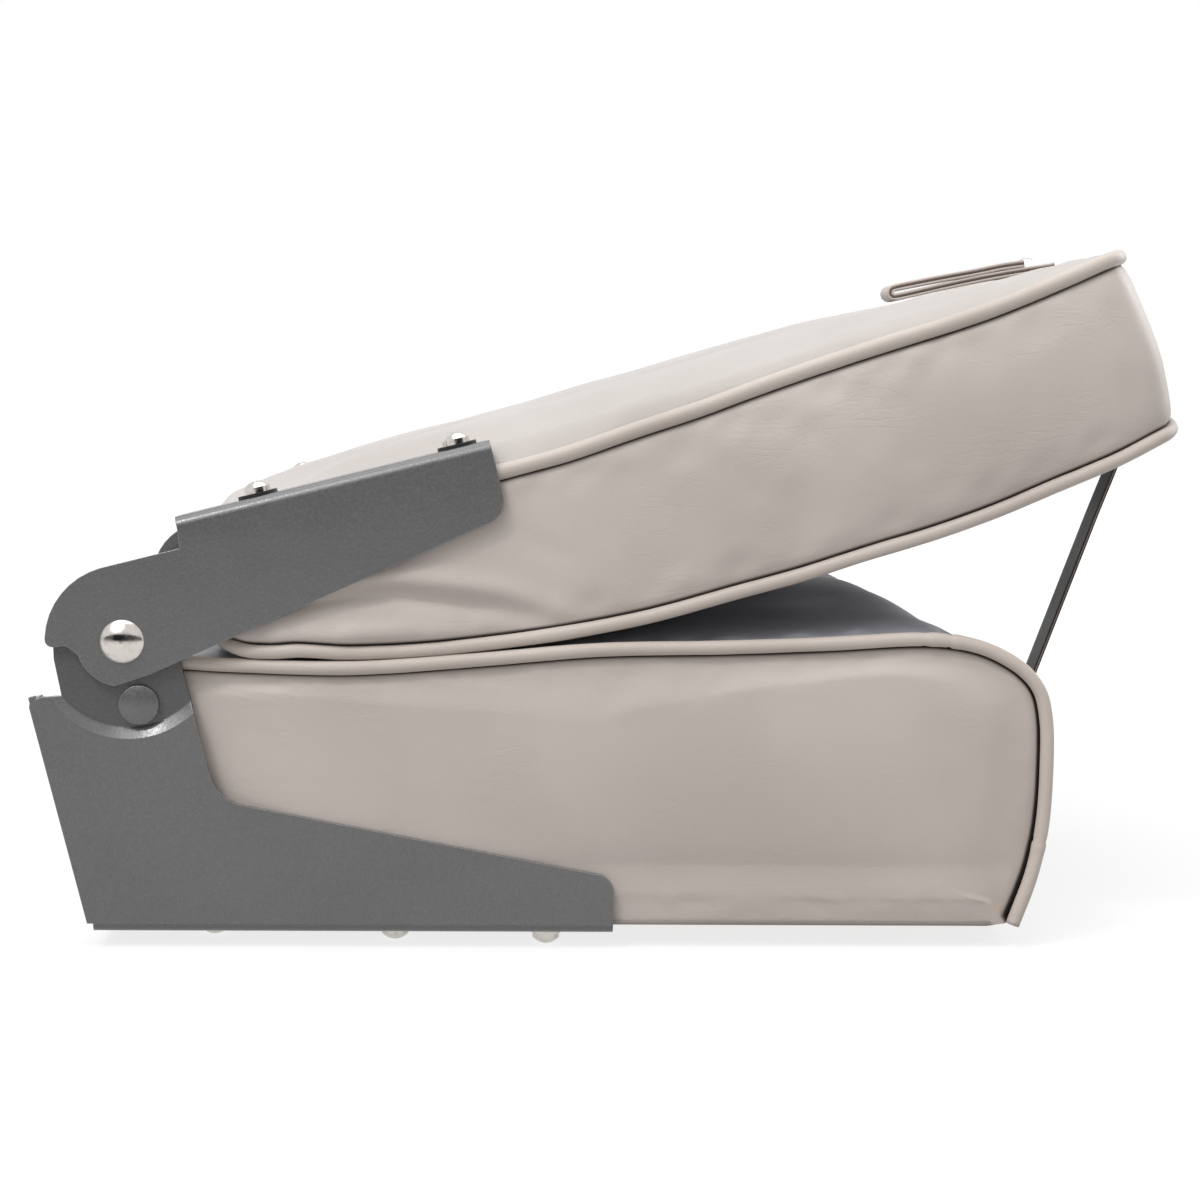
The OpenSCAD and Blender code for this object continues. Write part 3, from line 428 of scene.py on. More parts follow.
def join_pieces(name: str, pieces: Sequence[Piece]) -> Piece:
    """One object from several with a like finish, under a new name.

    Args:
        name: Name of the new piece.
        pieces: The objects.

    Returns:
        The first object, which now holds all.
    """
    chosen = list(pieces)
    with bpy.context.temp_override(
        active_object=chosen[0], selected_editable_objects=chosen, selected_objects=chosen
    ):
        bpy.ops.object.join()
    chosen[0].name = name
    return chosen[0]


# Cloth

CLOTH = {
    "quality": 5,
    "mass": 0.4,
    "tension_stiffness": 25,
    "compression_stiffness": 25,
    "shear_stiffness": 12,
    "bending_stiffness": 1.5,
    "use_pressure": True,
    "uniform_pressure_force": 4.0,
    "shrink_min": -0.012,
    "vertex_group_mass": "sewn",
}
CLOTH_FRAMES = 20


def puffed(grid: Array, held: Array, loop: bool, pole: Array | None, outwards: Array) -> Array:
    """Cover blown out over its foam by a short cloth run.

    Args:
        grid: Places of a coarse grid, in millimetres.
        held: 1 where the cover is sewn or pressed down, 0 where it is free.
        loop: Whether the columns close into a loop.
        pole: Point that closes the last row.
        outwards: Direction out of the surface.

    Returns:
        The grid after the run.
    """
    piece = make_piece("cover_run", grid, outwards, loop, pole)
    group = piece.vertex_groups.new(name="sewn")
    weights = held.ravel()
    for weight in np.unique(weights[weights > 0]):
        group.add(np.flatnonzero(weights == weight).tolist(), float(weight), "REPLACE")
    cloth = piece.modifiers.new("Cloth", "CLOTH")
    for key, value in CLOTH.items():
        setattr(cloth.settings, key, value)
    cloth.settings.effector_weights.gravity = 0
    cloth.collision_settings.use_collision = False
    cloth.collision_settings.use_self_collision = False
    cloth.point_cache.frame_start = 1
    cloth.point_cache.frame_end = CLOTH_FRAMES
    for number in range(1, CLOTH_FRAMES + 1):
        bpy.context.scene.frame_set(number)
    run = piece.evaluated_get(bpy.context.evaluated_depsgraph_get()).to_mesh()
    flat = np.zeros(len(run.vertices) * 3, np.float32)
    run.vertices.foreach_get("co", flat)
    mesh = piece.data
    bpy.data.objects.remove(piece)
    bpy.data.meshes.remove(mesh)
    bpy.context.scene.frame_set(1)
    return flat.reshape(-1, 3)[: held.size].reshape(grid.shape).astype(float) / MM


def spread(coarse: Array, rows: Array, cols: Array, shape: tuple[int, int], loop: bool) -> Array:
    """Values of a coarse grid carried to its fine grid by smooth curves, along its rows and then down.

    Args:
        coarse: Values at the picked rows and columns.
        rows: Picked rows of the fine grid.
        cols: Picked columns of the fine grid.
        shape: Rows and columns of the fine grid.
        loop: Whether the columns close into a loop.

    Returns:
        Smooth values for the whole fine grid.
    """
    if loop:
        cols = np.concatenate([cols, [shape[1]]])
        coarse = np.concatenate([coarse, coarse[:, :1]], axis=1)
    flat = np.moveaxis(coarse, 1, 0).reshape(len(cols), -1)
    along = hermite(cols.astype(float), flat, np.arange(shape[1], dtype=float))
    along = np.moveaxis(along.reshape(shape[1], len(rows), -1), 0, 1)
    down = hermite(rows.astype(float), along.reshape(len(rows), -1), np.arange(shape[0], dtype=float))
    return down.reshape(shape[0], shape[1], -1)


@dataclass(frozen=True)
class Cover:
    """A vinyl panel over foam, drawn as a grid and loosened by a cloth run.

    Attributes:
        grid: Places in millimetres.
        outwards: Unit directions out of the surface.
        held: 1 where it is sewn or pressed down.
        seam: How dark its seam's dirt and painted shade is.
        cap: How far the run may move a place, in millimetres.
        loop: Whether its columns close into a loop.
        pole: Point that closes its last row.
        step: Rows and columns from one picked for the run to the next.
        turns: Neighbours on each side over which a ring's moves are averaged.
        pole_span: Shares of the way out between which the run gains over the mean near the pole.
    """

    grid: Array
    outwards: Array
    held: Array
    seam: Array
    cap: float
    loop: bool = False
    pole: Array | None = None
    step: int = 4
    turns: int = 4
    pole_span: tuple[float, float] = (0.15, 0.55)

    def evened(self, moved: Array, pick: tuple[Array, Array]) -> Array:
        """The run's moves without the pinch that thin faces give round a pole.

        Only the part out of the surface is kept, each ring is averaged over its neighbours, and
        the rings near the pole take the mean of a ring half-way out.

        Args:
            moved: Moves of the picked places.
            pick: Picked rows and columns.

        Returns:
            The evened moves.
        """
        if self.pole is None:
            return moved
        out = self.outwards[pick]
        moved = np.sum(moved * out, axis=-1, keepdims=True) * out
        turns = range(-self.turns, self.turns + 1)
        moved = sum(np.roll(moved, turn, axis=1) for turn in turns) / len(turns)
        reach = np.linalg.norm(self.grid[pick] - self.pole, axis=-1).mean(axis=1)
        share = reach / reach.max()
        half = moved[np.argmin(np.abs(share - 0.5))].mean(axis=0)
        near = (1 - blend(share, *self.pole_span))[:, None, None]
        return moved * (1 - near) + half * near

    def settled(self) -> Array:
        """The grid moved by the cloth run, capped by a tanh, and still where it is held.
        """
        count_r, count_c = self.grid.shape[:2]
        rows = np.unique(np.append(np.arange(0, count_r, self.step), count_r - 1))
        cols = np.arange(0, count_c, self.step)
        if not self.loop:
            cols = np.unique(np.append(cols, count_c - 1))
        pick = np.ix_(rows, cols)
        run = puffed(self.grid[pick], self.held[pick], self.loop, self.pole, self.outwards[pick])
        moved = self.evened(run - self.grid[pick], pick)
        size = np.linalg.norm(moved, axis=-1, keepdims=True)
        moved *= self.cap * np.tanh(size / self.cap) / np.maximum(size, 1e-6)
        LOG.info("cloth run: moved %.2f mm at most, %.2f mm on average", size.max(), size.mean())
        fine = spread(moved, rows, cols, (count_r, count_c), self.loop)
        return self.grid + fine * (1.0 - self.held)[..., None]

    def piece(self, name: str) -> Piece:
        """The loosened cover as a piece, its pole in the middle of its last row.

        Args:
            name: Name of the piece.

        Returns:
            The piece.
        """
        grid = self.settled()
        pole = None if self.pole is None else grid[-1].mean(axis=0)
        return make_piece(name, grid, self.outwards, self.loop, pole, self.seam)


# Finishes

SMOOTH = {"interpolation_type": "SMOOTHSTEP"}
COLOUR = {"out": 2, "data_type": "RGBA"}
Layer = tuple[Socket, Sequence[float] | None, str]


def linear(colour: str) -> tuple[float, float, float, float]:
    """Linear colour of an sRGB hex value such as #b8b0aa."""
    parts = [int(colour[k : k + 2], 16) / 255.0 for k in (1, 3, 5)]
    return (*[c / 12.92 if c <= 0.04045 else ((c + 0.055) / 1.055) ** 2.4 for c in parts], 1.0)


def per_metre(size_mm: float) -> float:
    """Texture scale at which one cell of a pattern is that many millimetres, on coordinates in metres."""
    return 1.0 / (size_mm * MM)


def add_node(
    tree: Tree, kind: str, inputs: dict | Sequence = (), out: int | str = 0, **settings: object
) -> Socket | None:
    """Add a node with its settings, values and links.

    Args:
        tree: Node tree that gets it.
        kind: Its type, without the ShaderNode that all begin with.
        inputs: Values, or outputs that feed it, in the order of its sockets or by name or number.
        out: Name or number of the output that is wanted.
        **settings: Settings of the node itself.

    Returns:
        That output, or nothing where a node has none.
    """
    made = tree.nodes.new("ShaderNode" + kind)
    for key, value in settings.items():
        setattr(made, key, value)
    for key, value in inputs.items() if isinstance(inputs, dict) else enumerate(inputs):
        if isinstance(value, Socket):
            tree.links.new(value, made.inputs[key])
        else:
            made.inputs[key].default_value = value
    return made.outputs[out] if made.outputs else None


def seen_directly(tree: Tree) -> Socket:
    """1 for rays of the camera and for those that metal or glass passes on, else 0.

    Args:
        tree: Node tree of a material or of the surroundings.

    Returns:
        The value.
    """
    total = add_node(tree, "LightPath", out="Is Camera Ray")
    for kind in ("Is Glossy Ray", "Is Transmission Ray"):
        total = add_node(tree, "Math", (total, add_node(tree, "LightPath", out=kind)), operation="MAXIMUM")
    return total


@dataclass(frozen=True)
class Finish:
    """A material on Object coordinates, shaded by each kind in its own way.

    Attributes:
        name: Name of the material.
        colour: Main colour.
        shade: Second colour.
    """

    name: str
    colour: str
    shade: str

    def layered(self, tree: Tree, layers: Sequence[Layer], base: Socket | None = None) -> Socket:
        """Main colour under layers of others, each turned in by its share.

        Args:
            tree: Node tree of the material.
            layers: A value, its span's two ends and the shares they give, and a colour; where
                there is no span the value is the share.
            base: Colour to start from, if not the main one.

        Returns:
            The colour.
        """
        base = linear(self.colour) if base is None else base
        for value, span, colour in layers:
            share = add_node(tree, "MapRange", (value, *span), **SMOOTH) if span else value
            base = add_node(tree, "Mix", {0: share, 6: base, 7: linear(colour)}, **COLOUR)
        return base

    def shader(self, tree: Tree, place: Socket) -> Socket:
        """Nodes of the surface, added by each kind: its tree and Object coordinates lead to its shader."""
        raise NotImplementedError

    def material(self) -> bpy.types.Material:
        """The material, its shader led to the output.

        Returns:
            A new material.
        """
        made = bpy.data.materials.new(self.name)
        made.use_nodes = True
        tree = made.node_tree
        tree.nodes.clear()
        shader = self.shader(tree, add_node(tree, "TexCoord", out="Object"))
        add_node(tree, "OutputMaterial", {"Surface": shader})
        return made


@dataclass(frozen=True)
class MarineVinyl(Finish):
    """Expanded marine vinyl: PVC skin rolled with a leather grain on a knitted back.

    It gives the eye a satin surface with a fine pebble, soft dents, patches of fine wrinkles
    where it was pulled over the foam, with painted shade along them, a light clouding of its
    colour, and a dark line of dirt and painted shade where it dives into a seam. The real pebble
    is under a millimetre wide, and is drawn coarser so that it shows. A wrinkle is the crest of a
    noise that is stretched along a slant, either way.

    Attributes:
        seam: Colour of dirt and painted shade deep in a seam, turned in by the piece's seam attribute.
        grain: How strongly its wrinkles show.
        roughness: Mean roughness.
        pebble_mm: Size of its pebble, and so on for its wrinkles, dents, patches and clouds.
        pebble_depth: Depth of its pebble in millimetres, and so on for its wrinkles and dents.
        slant_deg: Slant of its wrinkles.
    """

    seam: str = "#2a2320"
    grain: Grain = Grain.SOFT
    roughness: float = 0.46
    pebble_mm: float = 1.5
    wrinkle_mm: float = 5.5
    dent_mm: float = 11.0
    patch_mm: float = 42.0
    cloud_mm: float = 80.0
    pebble_depth: float = 0.06
    wrinkle_depth: float = 0.06
    dent_depth: float = 0.16
    slant_deg: float = 38.0

    def wrinkles(self, tree: Tree, place: Socket) -> Socket:
        """Where the skin is wrinkled: thin crests either way, each in its own patches.

        Args:
            tree: Node tree of the material.
            place: Object coordinates.

        Returns:
            A value from 0 to 1.
        """
        noise = {"Vector": place, "Scale": per_metre(self.patch_mm), "Detail": 2.0}
        patch = add_node(tree, "TexNoise", noise, out="Color")
        strokes = []
        for slant, channel in ((self.slant_deg, "Red"), (-self.slant_deg, "Blue")):
            turn = (0.0, math.radians(slant), 0.0)
            turned = add_node(tree, "Mapping", {"Vector": place, "Rotation": turn, "Scale": (0.3, 1.0, 1.0)})
            noise = {"Vector": turned, "Scale": per_metre(self.wrinkle_mm), "Detail": 1.5, "Distortion": 0.4}
            crest = add_node(tree, "Math", (add_node(tree, "TexNoise", noise), 0.5), operation="PINGPONG")
            line = add_node(tree, "MapRange", (crest, 0.44, 0.5, 0.0, 1.0), **SMOOTH)
            part = add_node(tree, "SeparateColor", (patch,), out=channel)
            where = add_node(tree, "MapRange", (part, 0.5, 0.64, 0.0, self.grain.value), **SMOOTH)
            strokes.append(add_node(tree, "Math", (line, where), operation="MULTIPLY"))
        return add_node(tree, "Math", strokes, operation="MAXIMUM")

    def shader(self, tree: Tree, place: Socket) -> Socket:
        """Satin skin, its relief the dents less the depths of the pebble and the wrinkles.

        Args:
            tree: Node tree of the material.
            place: Object coordinates.

        Returns:
            The shader.
        """
        cells = {"Vector": place, "Scale": per_metre(self.pebble_mm), "Smoothness": 0.5}
        pebble = add_node(tree, "TexVoronoi", cells, out="Distance", feature="SMOOTH_F1")
        dent = add_node(tree, "TexNoise", {"Vector": place, "Scale": per_metre(self.dent_mm), "Detail": 3.0})
        wrinkled = self.wrinkles(tree, place)
        height = 0.0
        for part, depth in (
            (dent, self.dent_depth), (pebble, -self.pebble_depth), (wrinkled, -self.wrinkle_depth)
        ):
            height = add_node(tree, "Math", (part, depth, height), operation="MULTIPLY_ADD")
        bump = add_node(tree, "Bump", {"Strength": 1.0, "Distance": MM, "Height": height})
        noise = {"Vector": place, "Scale": per_metre(self.cloud_mm), "Detail": 5.0}
        cloud = add_node(tree, "TexNoise", noise)
        base = self.layered(
            tree,
            (
                (cloud, (0.3, 0.7, 0.0, 0.8), self.shade),
                # painted shade: the wrinkles are drawn a little darker
                (wrinkled, (0.0, 1.0, 0.0, 0.12), self.shade),
                # dirt and painted shade deep in the seams, by the piece's seam attribute
                (add_node(tree, "Attribute", out="Fac", attribute_name="seam"), None, self.seam),
            ),
        )
        span = (0.3, 0.7, self.roughness - 0.05, self.roughness + 0.06)
        skin = {
            "Base Color": base,
            "Roughness": add_node(tree, "MapRange", (cloud, *span), **SMOOTH),
            "Normal": bump,
            "IOR": 1.5,
            "Specular IOR Level": 0.32,
            "Sheen Weight": 0.03,
            "Sheen Roughness": 0.5,
        }
        return add_node(tree, "BsdfPrincipled", skin)


@dataclass(frozen=True)
class PowderCoat(Finish):
    """Polyester powder coat, baked on pressed sheet steel.

    It is satin, with an orange peel that breaks up its highlights into specks. Over its edges,
    which are rounded by the tumbling of the blanks, it is drawn a little lighter, in its shade,
    as a painted highlight. Real orange peel is about a millimetre wide, and is drawn coarser so
    that it shows.

    Attributes:
        peel_mm: Size of its orange peel, and so on for its specks and clouds.
        peel_depth: Depth of its orange peel in millimetres.
        edge_mm: Radius of its rounded edges, and so the width of their painted highlight.
        roughness: Mean roughness.
        recess: Colour of the painted shade behind the plates' joggle, where the arm shades the ear.
        recess_shade_mm: Distances from the middle plane between which that painted shade gives way.
    """

    peel_mm: float = 1.5
    grit_mm: float = 0.7
    cloud_mm: float = 60.0
    peel_depth: float = 0.065
    edge_mm: float = 0.6
    roughness: float = 0.25
    # colour of the painted shade behind the joggle
    recess: str = "#474747"
    recess_shade_mm: tuple[float, float] = (211.5, 212.3)

    def shader(self, tree: Tree, place: Socket) -> Socket:
        """Satin coat; an edge is where the bevelled normal leaves the true one.

        Args:
            tree: Node tree of the material.
            place: Object coordinates.

        Returns:
            The shader.
        """
        noise = {"Vector": place, "Scale": per_metre(self.peel_mm), "Detail": 1.5, "Roughness": 0.55}
        peel = add_node(tree, "TexNoise", noise)
        grit = add_node(tree, "TexNoise", {"Vector": place, "Scale": per_metre(self.grit_mm), "Detail": 1.0})
        noise = {"Vector": place, "Scale": per_metre(self.cloud_mm), "Detail": 3.0}
        cloud = add_node(tree, "TexNoise", noise)
        edge = add_node(tree, "Bevel", {"Radius": self.edge_mm * MM}, samples=6)
        true = add_node(tree, "NewGeometry", out="Normal")
        level = add_node(tree, "VectorMath", (edge, true), out="Value", operation="DOT_PRODUCT")
        relief = {"Strength": 1.0, "Distance": self.peel_depth * MM, "Height": peel, "Normal": edge}
        y = add_node(tree, "SeparateXYZ", (place,), out="Y")
        off = add_node(tree, "Math", (y,), operation="ABSOLUTE")
        base = self.layered(
            tree,
            (
                (grit, (0.58, 0.74, 0.0, 0.12), self.shade),
                (cloud, (0.3, 0.7, 0.0, 0.02), self.shade),
                # painted highlight: lighter along edges, where the bevelled normal leaves the true one
                (level, (0.8, 0.985, 0.6, 0.0), self.shade),
                # painted shade behind the joggle, by the distance from the middle plane
                (off, (self.recess_shade_mm[0] * MM, self.recess_shade_mm[1] * MM, 0.9, 0.0), self.recess),
            ),
        )
        span = (0.3, 0.7, self.roughness - 0.06, self.roughness + 0.08)
        coat = {
            "Base Color": base,
            "Roughness": add_node(tree, "MapRange", (peel, *span), **SMOOTH),
            "Normal": add_node(tree, "Bump", relief),
            "IOR": 1.5,
            "Specular IOR Level": 0.7,
        }
        return add_node(tree, "BsdfPrincipled", coat)


@dataclass(frozen=True)
class Spotted(Finish):
    """A smooth surface with fine marks in its relief, and spots that change its colour and its gloss.

    Attributes:
        roughness: Least roughness.
        duller: How much rougher its spots are.
        mark_mm: Size of its marks, and so on for its spots.
        mark_depth: Depth of its marks in millimetres, and their strength.
        mark_detail: Fineness of its marks.
        colouring: Span of the spots that turn in the shade, and the shares it gives.
        dulling: Span of the spots over which the surface gets rougher.
        skin: What its shader has of its own.
    """

    roughness: float
    duller: float
    mark_mm: float
    spot_mm: float
    mark_depth: tuple[float, float]
    mark_detail: float
    colouring: tuple[float, float, float, float]
    dulling: tuple[float, float]
    skin: tuple[str, float]

    def shader(self, tree: Tree, place: Socket) -> Socket:
        """Marks as relief, spots as colour and roughness.

        Args:
            tree: Node tree of the material.
            place: Object coordinates.

        Returns:
            The shader.
        """
        noise = {"Vector": place, "Scale": per_metre(self.mark_mm), "Detail": self.mark_detail}
        marks = add_node(tree, "TexNoise", noise)
        spots = add_node(tree, "TexNoise", {"Vector": place, "Scale": per_metre(self.spot_mm), "Detail": 4.0})
        depth, strength = self.mark_depth
        bump = add_node(tree, "Bump", {"Strength": strength, "Distance": depth * MM, "Height": marks})
        span = (*self.dulling, self.roughness, self.roughness + self.duller)
        own = {
            "Base Color": self.layered(tree, ((spots, self.colouring, self.shade),)),
            "Roughness": add_node(tree, "MapRange", (spots, *span), **SMOOTH),
            "Normal": bump,
            self.skin[0]: self.skin[1],
        }
        return add_node(tree, "BsdfPrincipled", own)


@dataclass(frozen=True)
class BrightMetal(Spotted):
    """Polished and plated steel: mirror-like, with faint tumbling marks and cloudy spots."""

    shade: str = "#8d8a88"
    roughness: float = 0.2
    duller: float = 0.14
    mark_mm: float = 1.0
    spot_mm: float = 3.5
    mark_depth: tuple[float, float] = (0.05, 0.12)
    mark_detail: float = 3.0
    colouring: tuple[float, float, float, float] = (0.45, 0.75, 0.0, 0.25)
    dulling: tuple[float, float] = (0.35, 0.75)
    skin: tuple[str, float] = ("Metallic", 1.0)


@dataclass(frozen=True)
class MouldedPlastic(Spotted):
    """Moulded nylon or rubber: matt, with a spark-eroded grain half a millimetre across and dusty spots."""

    roughness: float = 0.5
    duller: float = 0.12
    mark_mm: float = 0.6
    spot_mm: float = 5.0
    mark_depth: tuple[float, float] = (0.1, 0.25)
    mark_detail: float = 2.0
    colouring: tuple[float, float, float, float] = (0.4, 0.75, 0.0, 0.6)
    dulling: tuple[float, float] = (0.3, 0.7)
    skin: tuple[str, float] = ("IOR", 1.53)


@dataclass(frozen=True)
class Plywood(Finish):
    """Birch plywood, rotary cut and sanded.

    It gives the eye a long flame grain between its colour and its shade on its face, thin plies
    at its edge, and small dark pores.

    Attributes:
        pale: Colour of the lightest grain.
        pore: Colour of its pores.
        grain_mm: Width of its flame grain, and so on for its pores and plies.
        stretch: Scale of its grain along X, as a share.
    """

    pale: str = "#e2c79c"
    pore: str = "#6f5233"
    grain_mm: float = 7.0
    pore_mm: float = 0.8
    ply_mm: float = 1.5
    stretch: float = 0.06

    def shader(self, tree: Tree, place: Socket) -> Socket:
        """Matt wood, its grain along X; a ply is a twentieth of the wave texture's own unit.

        Args:
            tree: Node tree of the material.
            place: Object coordinates.

        Returns:
            The shader.
        """
        long = add_node(tree, "Mapping", {"Vector": place, "Scale": (self.stretch, 1.0, 1.0)})
        noise = {"Vector": long, "Scale": per_metre(self.grain_mm), "Detail": 6.0, "Distortion": 0.6}
        flame = add_node(tree, "ValToRGB", (add_node(tree, "TexNoise", noise),))
        bar = flame.node.color_ramp.elements
        bar.new(0.5)
        for stop, (at, colour) in zip(bar, ((0.3, self.shade), (0.5, self.colour), (0.72, self.pale))):
            stop.position = at
            stop.color = linear(colour)
        pores = add_node(tree, "TexNoise", {"Vector": long, "Scale": per_metre(self.pore_mm), "Detail": 2.0})
        wave = {"Vector": place, "Scale": per_metre(self.ply_mm) / 20.0, "Distortion": 0.4, "Detail": 1.0}
        plies = add_node(tree, "TexWave", wave, out=1, bands_direction="Z")
        layers = ((plies, (0.6, 1.0, 0.0, 0.18), self.shade), (pores, (0.6, 0.75, 0.0, 0.5), self.pore))
        wood = {
            "Base Color": self.layered(tree, layers, flame),
            "Roughness": 0.62,
            "Normal": add_node(tree, "Bump", {"Strength": 0.2, "Distance": 0.1 * MM, "Height": pores}),
            "IOR": 1.5,
        }
        return add_node(tree, "BsdfPrincipled", wood)


@dataclass(frozen=True)
class Card(Finish):
    """Matt studio card, with a hardly visible cloud between its two colours.

    Attributes:
        cloud_mm: Size of the cloud.
    """

    cloud_mm: float

    def clouded(self, tree: Tree, place: Socket) -> Socket:
        """Its colour at Object coordinates."""
        noise = {"Vector": place, "Scale": per_metre(self.cloud_mm), "Detail": 2.0}
        cloud = add_node(tree, "TexNoise", noise)
        return self.layered(tree, ((cloud, (0.3, 0.7, 0.0, 1.0), self.shade),))

    def shader(self, tree: Tree, place: Socket) -> Socket:
        """Its colour on a matt surface."""
        return add_node(tree, "BsdfDiffuse", {"Color": self.clouded(tree, place)})


@dataclass(frozen=True)
class FloorPaper(Card):
    """White background paper, evenly white by a glow of its own.

    Attributes:
        glow: Share of plain white that the camera and mirrors see.
        bounce: Level of grey that it throws on the part.
    """

    glow: float
    bounce: float

    def shader(self, tree: Tree, place: Socket) -> Socket:
        """Matt paper, which glows where it is seen directly and is dimmer for all other rays.

        Args:
            tree: Node tree of the material.
            place: Object coordinates.

        Returns:
            The shader.
        """
        seen = seen_directly(tree)
        dim = (self.bounce, self.bounce, self.bounce, 1.0)
        base = add_node(tree, "Mix", {0: seen, 6: dim, 7: self.clouded(tree, place)}, **COLOUR)
        matt = add_node(tree, "BsdfDiffuse", {"Color": base})
        white = add_node(tree, "Emission", {"Color": linear("#ffffff"), "Strength": 1.0})
        share = add_node(tree, "Math", (seen, self.glow), operation="MULTIPLY")
        return add_node(tree, "MixShader", (share, matt, white))


FINISHES = {
    finish.name: finish
    for finish in (
        MarineVinyl("grey_vinyl", "#c3b9b3", "#b8aea8", grain=Grain.CREASED),
        MarineVinyl("seat_vinyl", "#c0b6b0", "#b7ada7"),
        MarineVinyl("piping_vinyl", "#c2b8b0", "#b7aca4", grain=Grain.TIGHT, pebble_mm=0.9),
        # the back panel's copy of the light grey vinyl, drawn darker as painted shade against the light from
        # above
        MarineVinyl("shaded_back_vinyl", "#b8b2ae", "#b0aaa6"),
        # each vinyl's seam colour is the dirt and painted shade deep in its seams
        MarineVinyl("charcoal_vinyl", "#9b9aa0", "#8d8c92", "#141416", Grain.TIGHT, 0.42),
        MarineVinyl("hem_vinyl", "#aaa19b", "#9c938d", "#3a3634", Grain.SOFT, 0.55),
        MarineVinyl("strap_vinyl", "#41372f", "#352c26", "#1b1917", Grain.TIGHT, 0.4),
        MarineVinyl("strap_core", "#b5aaa1", "#96897f", "#4a403a", Grain.TIGHT, 0.7),
        MarineVinyl("tab_core", "#6a5d56", "#54483f", "#2a221e", Grain.TIGHT, 0.7),
        # the coat's light shade colours its specks and the painted highlight on its edges
        PowderCoat("bracket_paint", "#5b5b5b", "#c4c4c4"),
        BrightMetal("rivet_chrome", "#cfc9c4", roughness=0.12),
        BrightMetal("steel", "#c9c4be"),
        MouldedPlastic("black_washer", "#17181a", "#2b2c2e"),
        MouldedPlastic("nylon", "#e4e1d8", "#d3cfc4", roughness=0.45),
        Plywood("plywood", "#d3b083", "#b58c5c"),
        Card("dark_card", "#1c1c1c", "#2c2c2c", cloud_mm=500.0),
        FloorPaper("floor_paper", "#fcfcfc", "#fafafa", cloud_mm=400.0, glow=0.8, bounce=0.42),
    )
}


@dataclass
class Finisher:
    built: dict[str, bpy.types.Material] = field(default_factory=dict)

    def put(self, piece: Piece, finish: str) -> None:
        """Give a piece its finish, in place of any that it has.

        Args:
            piece: The piece.
            finish: Name of the finish.
        """
        if finish not in self.built:
            self.built[finish] = FINISHES[finish].material()
        piece.data.materials.clear()
        piece.data.materials.append(self.built[finish])

    def declare(
        self, piece: Piece, finish: str, body: str, nodes: Sequence[str] = ()
    ) -> None:
        """Dress a piece, hide the CAD nodes that it replaces and hang it on its body.

        Args:
            piece: The piece.
            finish: Name of its finish.
            body: Body that it rides on.
            nodes: CAD nodes that it replaces.
        """
        self.put(piece, finish)
        if nodes:
            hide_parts(*nodes)
        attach(piece, body)
        LOG.info("%s: %s, %d faces", piece.name, finish, len(piece.data.polygons))


# Cushions


def upright(flat: Array, y: Array | float = 0.0) -> Array:
    """Flat places or directions (x, z) as (x, y, z)."""
    return np.stack([flat[..., 0], np.broadcast_to(y, flat.shape[:-1]), flat[..., 1]], -1)


@dataclass(frozen=True)
class Sewing:
    """Sizes that both cushions share, in millimetres.

    Attributes:
        pipe_r: Distance of the piping's middle from the panels.
        pipe_proud: How far the piping stands out of them.
        tuck_depth: How deep a panel dives beside its piping.
        tuck_reach: Distance from the piping's middle at which it starts to dive.
        tuck_power: How suddenly it dives.
        seam_fade: Distances past the piping between which the seam's dirt and painted shade fades.
        edge: Distances from the piping's middle of a panel's closely spaced edge rows.
    """

    pipe_r: float = 3.1
    pipe_proud: float = 2.0
    tuck_depth: float = 4.2
    tuck_reach: float = 9.0
    tuck_power: float = 2.2
    seam_fade: tuple[float, float] = (0.7, 2.3)
    edge: tuple[float, ...] = (1.4, 2.2, 2.8, 3.3, 3.7, 4.1, 4.6, 5.2, 6.0, 7.0, 8.0, 9.2)

    def tuck(self, q: Array) -> Array:
        """How deep a panel has dived at a distance q from the middle of its piping."""
        return self.tuck_depth * np.clip(1.0 - q / self.tuck_reach, 0.0, 1.0) ** self.tuck_power

    def seam(self, q: Array) -> Array:
        """How dark the seam's dirt and painted shade is: full beside the piping, gone two millimetres on."""
        return 1.0 - blend(q, self.pipe_r + self.seam_fade[0], self.pipe_r + self.seam_fade[1])

    def edge_rows(self) -> Array:
        """The edge rows' distances."""
        return np.array(self.edge)


SEWING = Sewing()


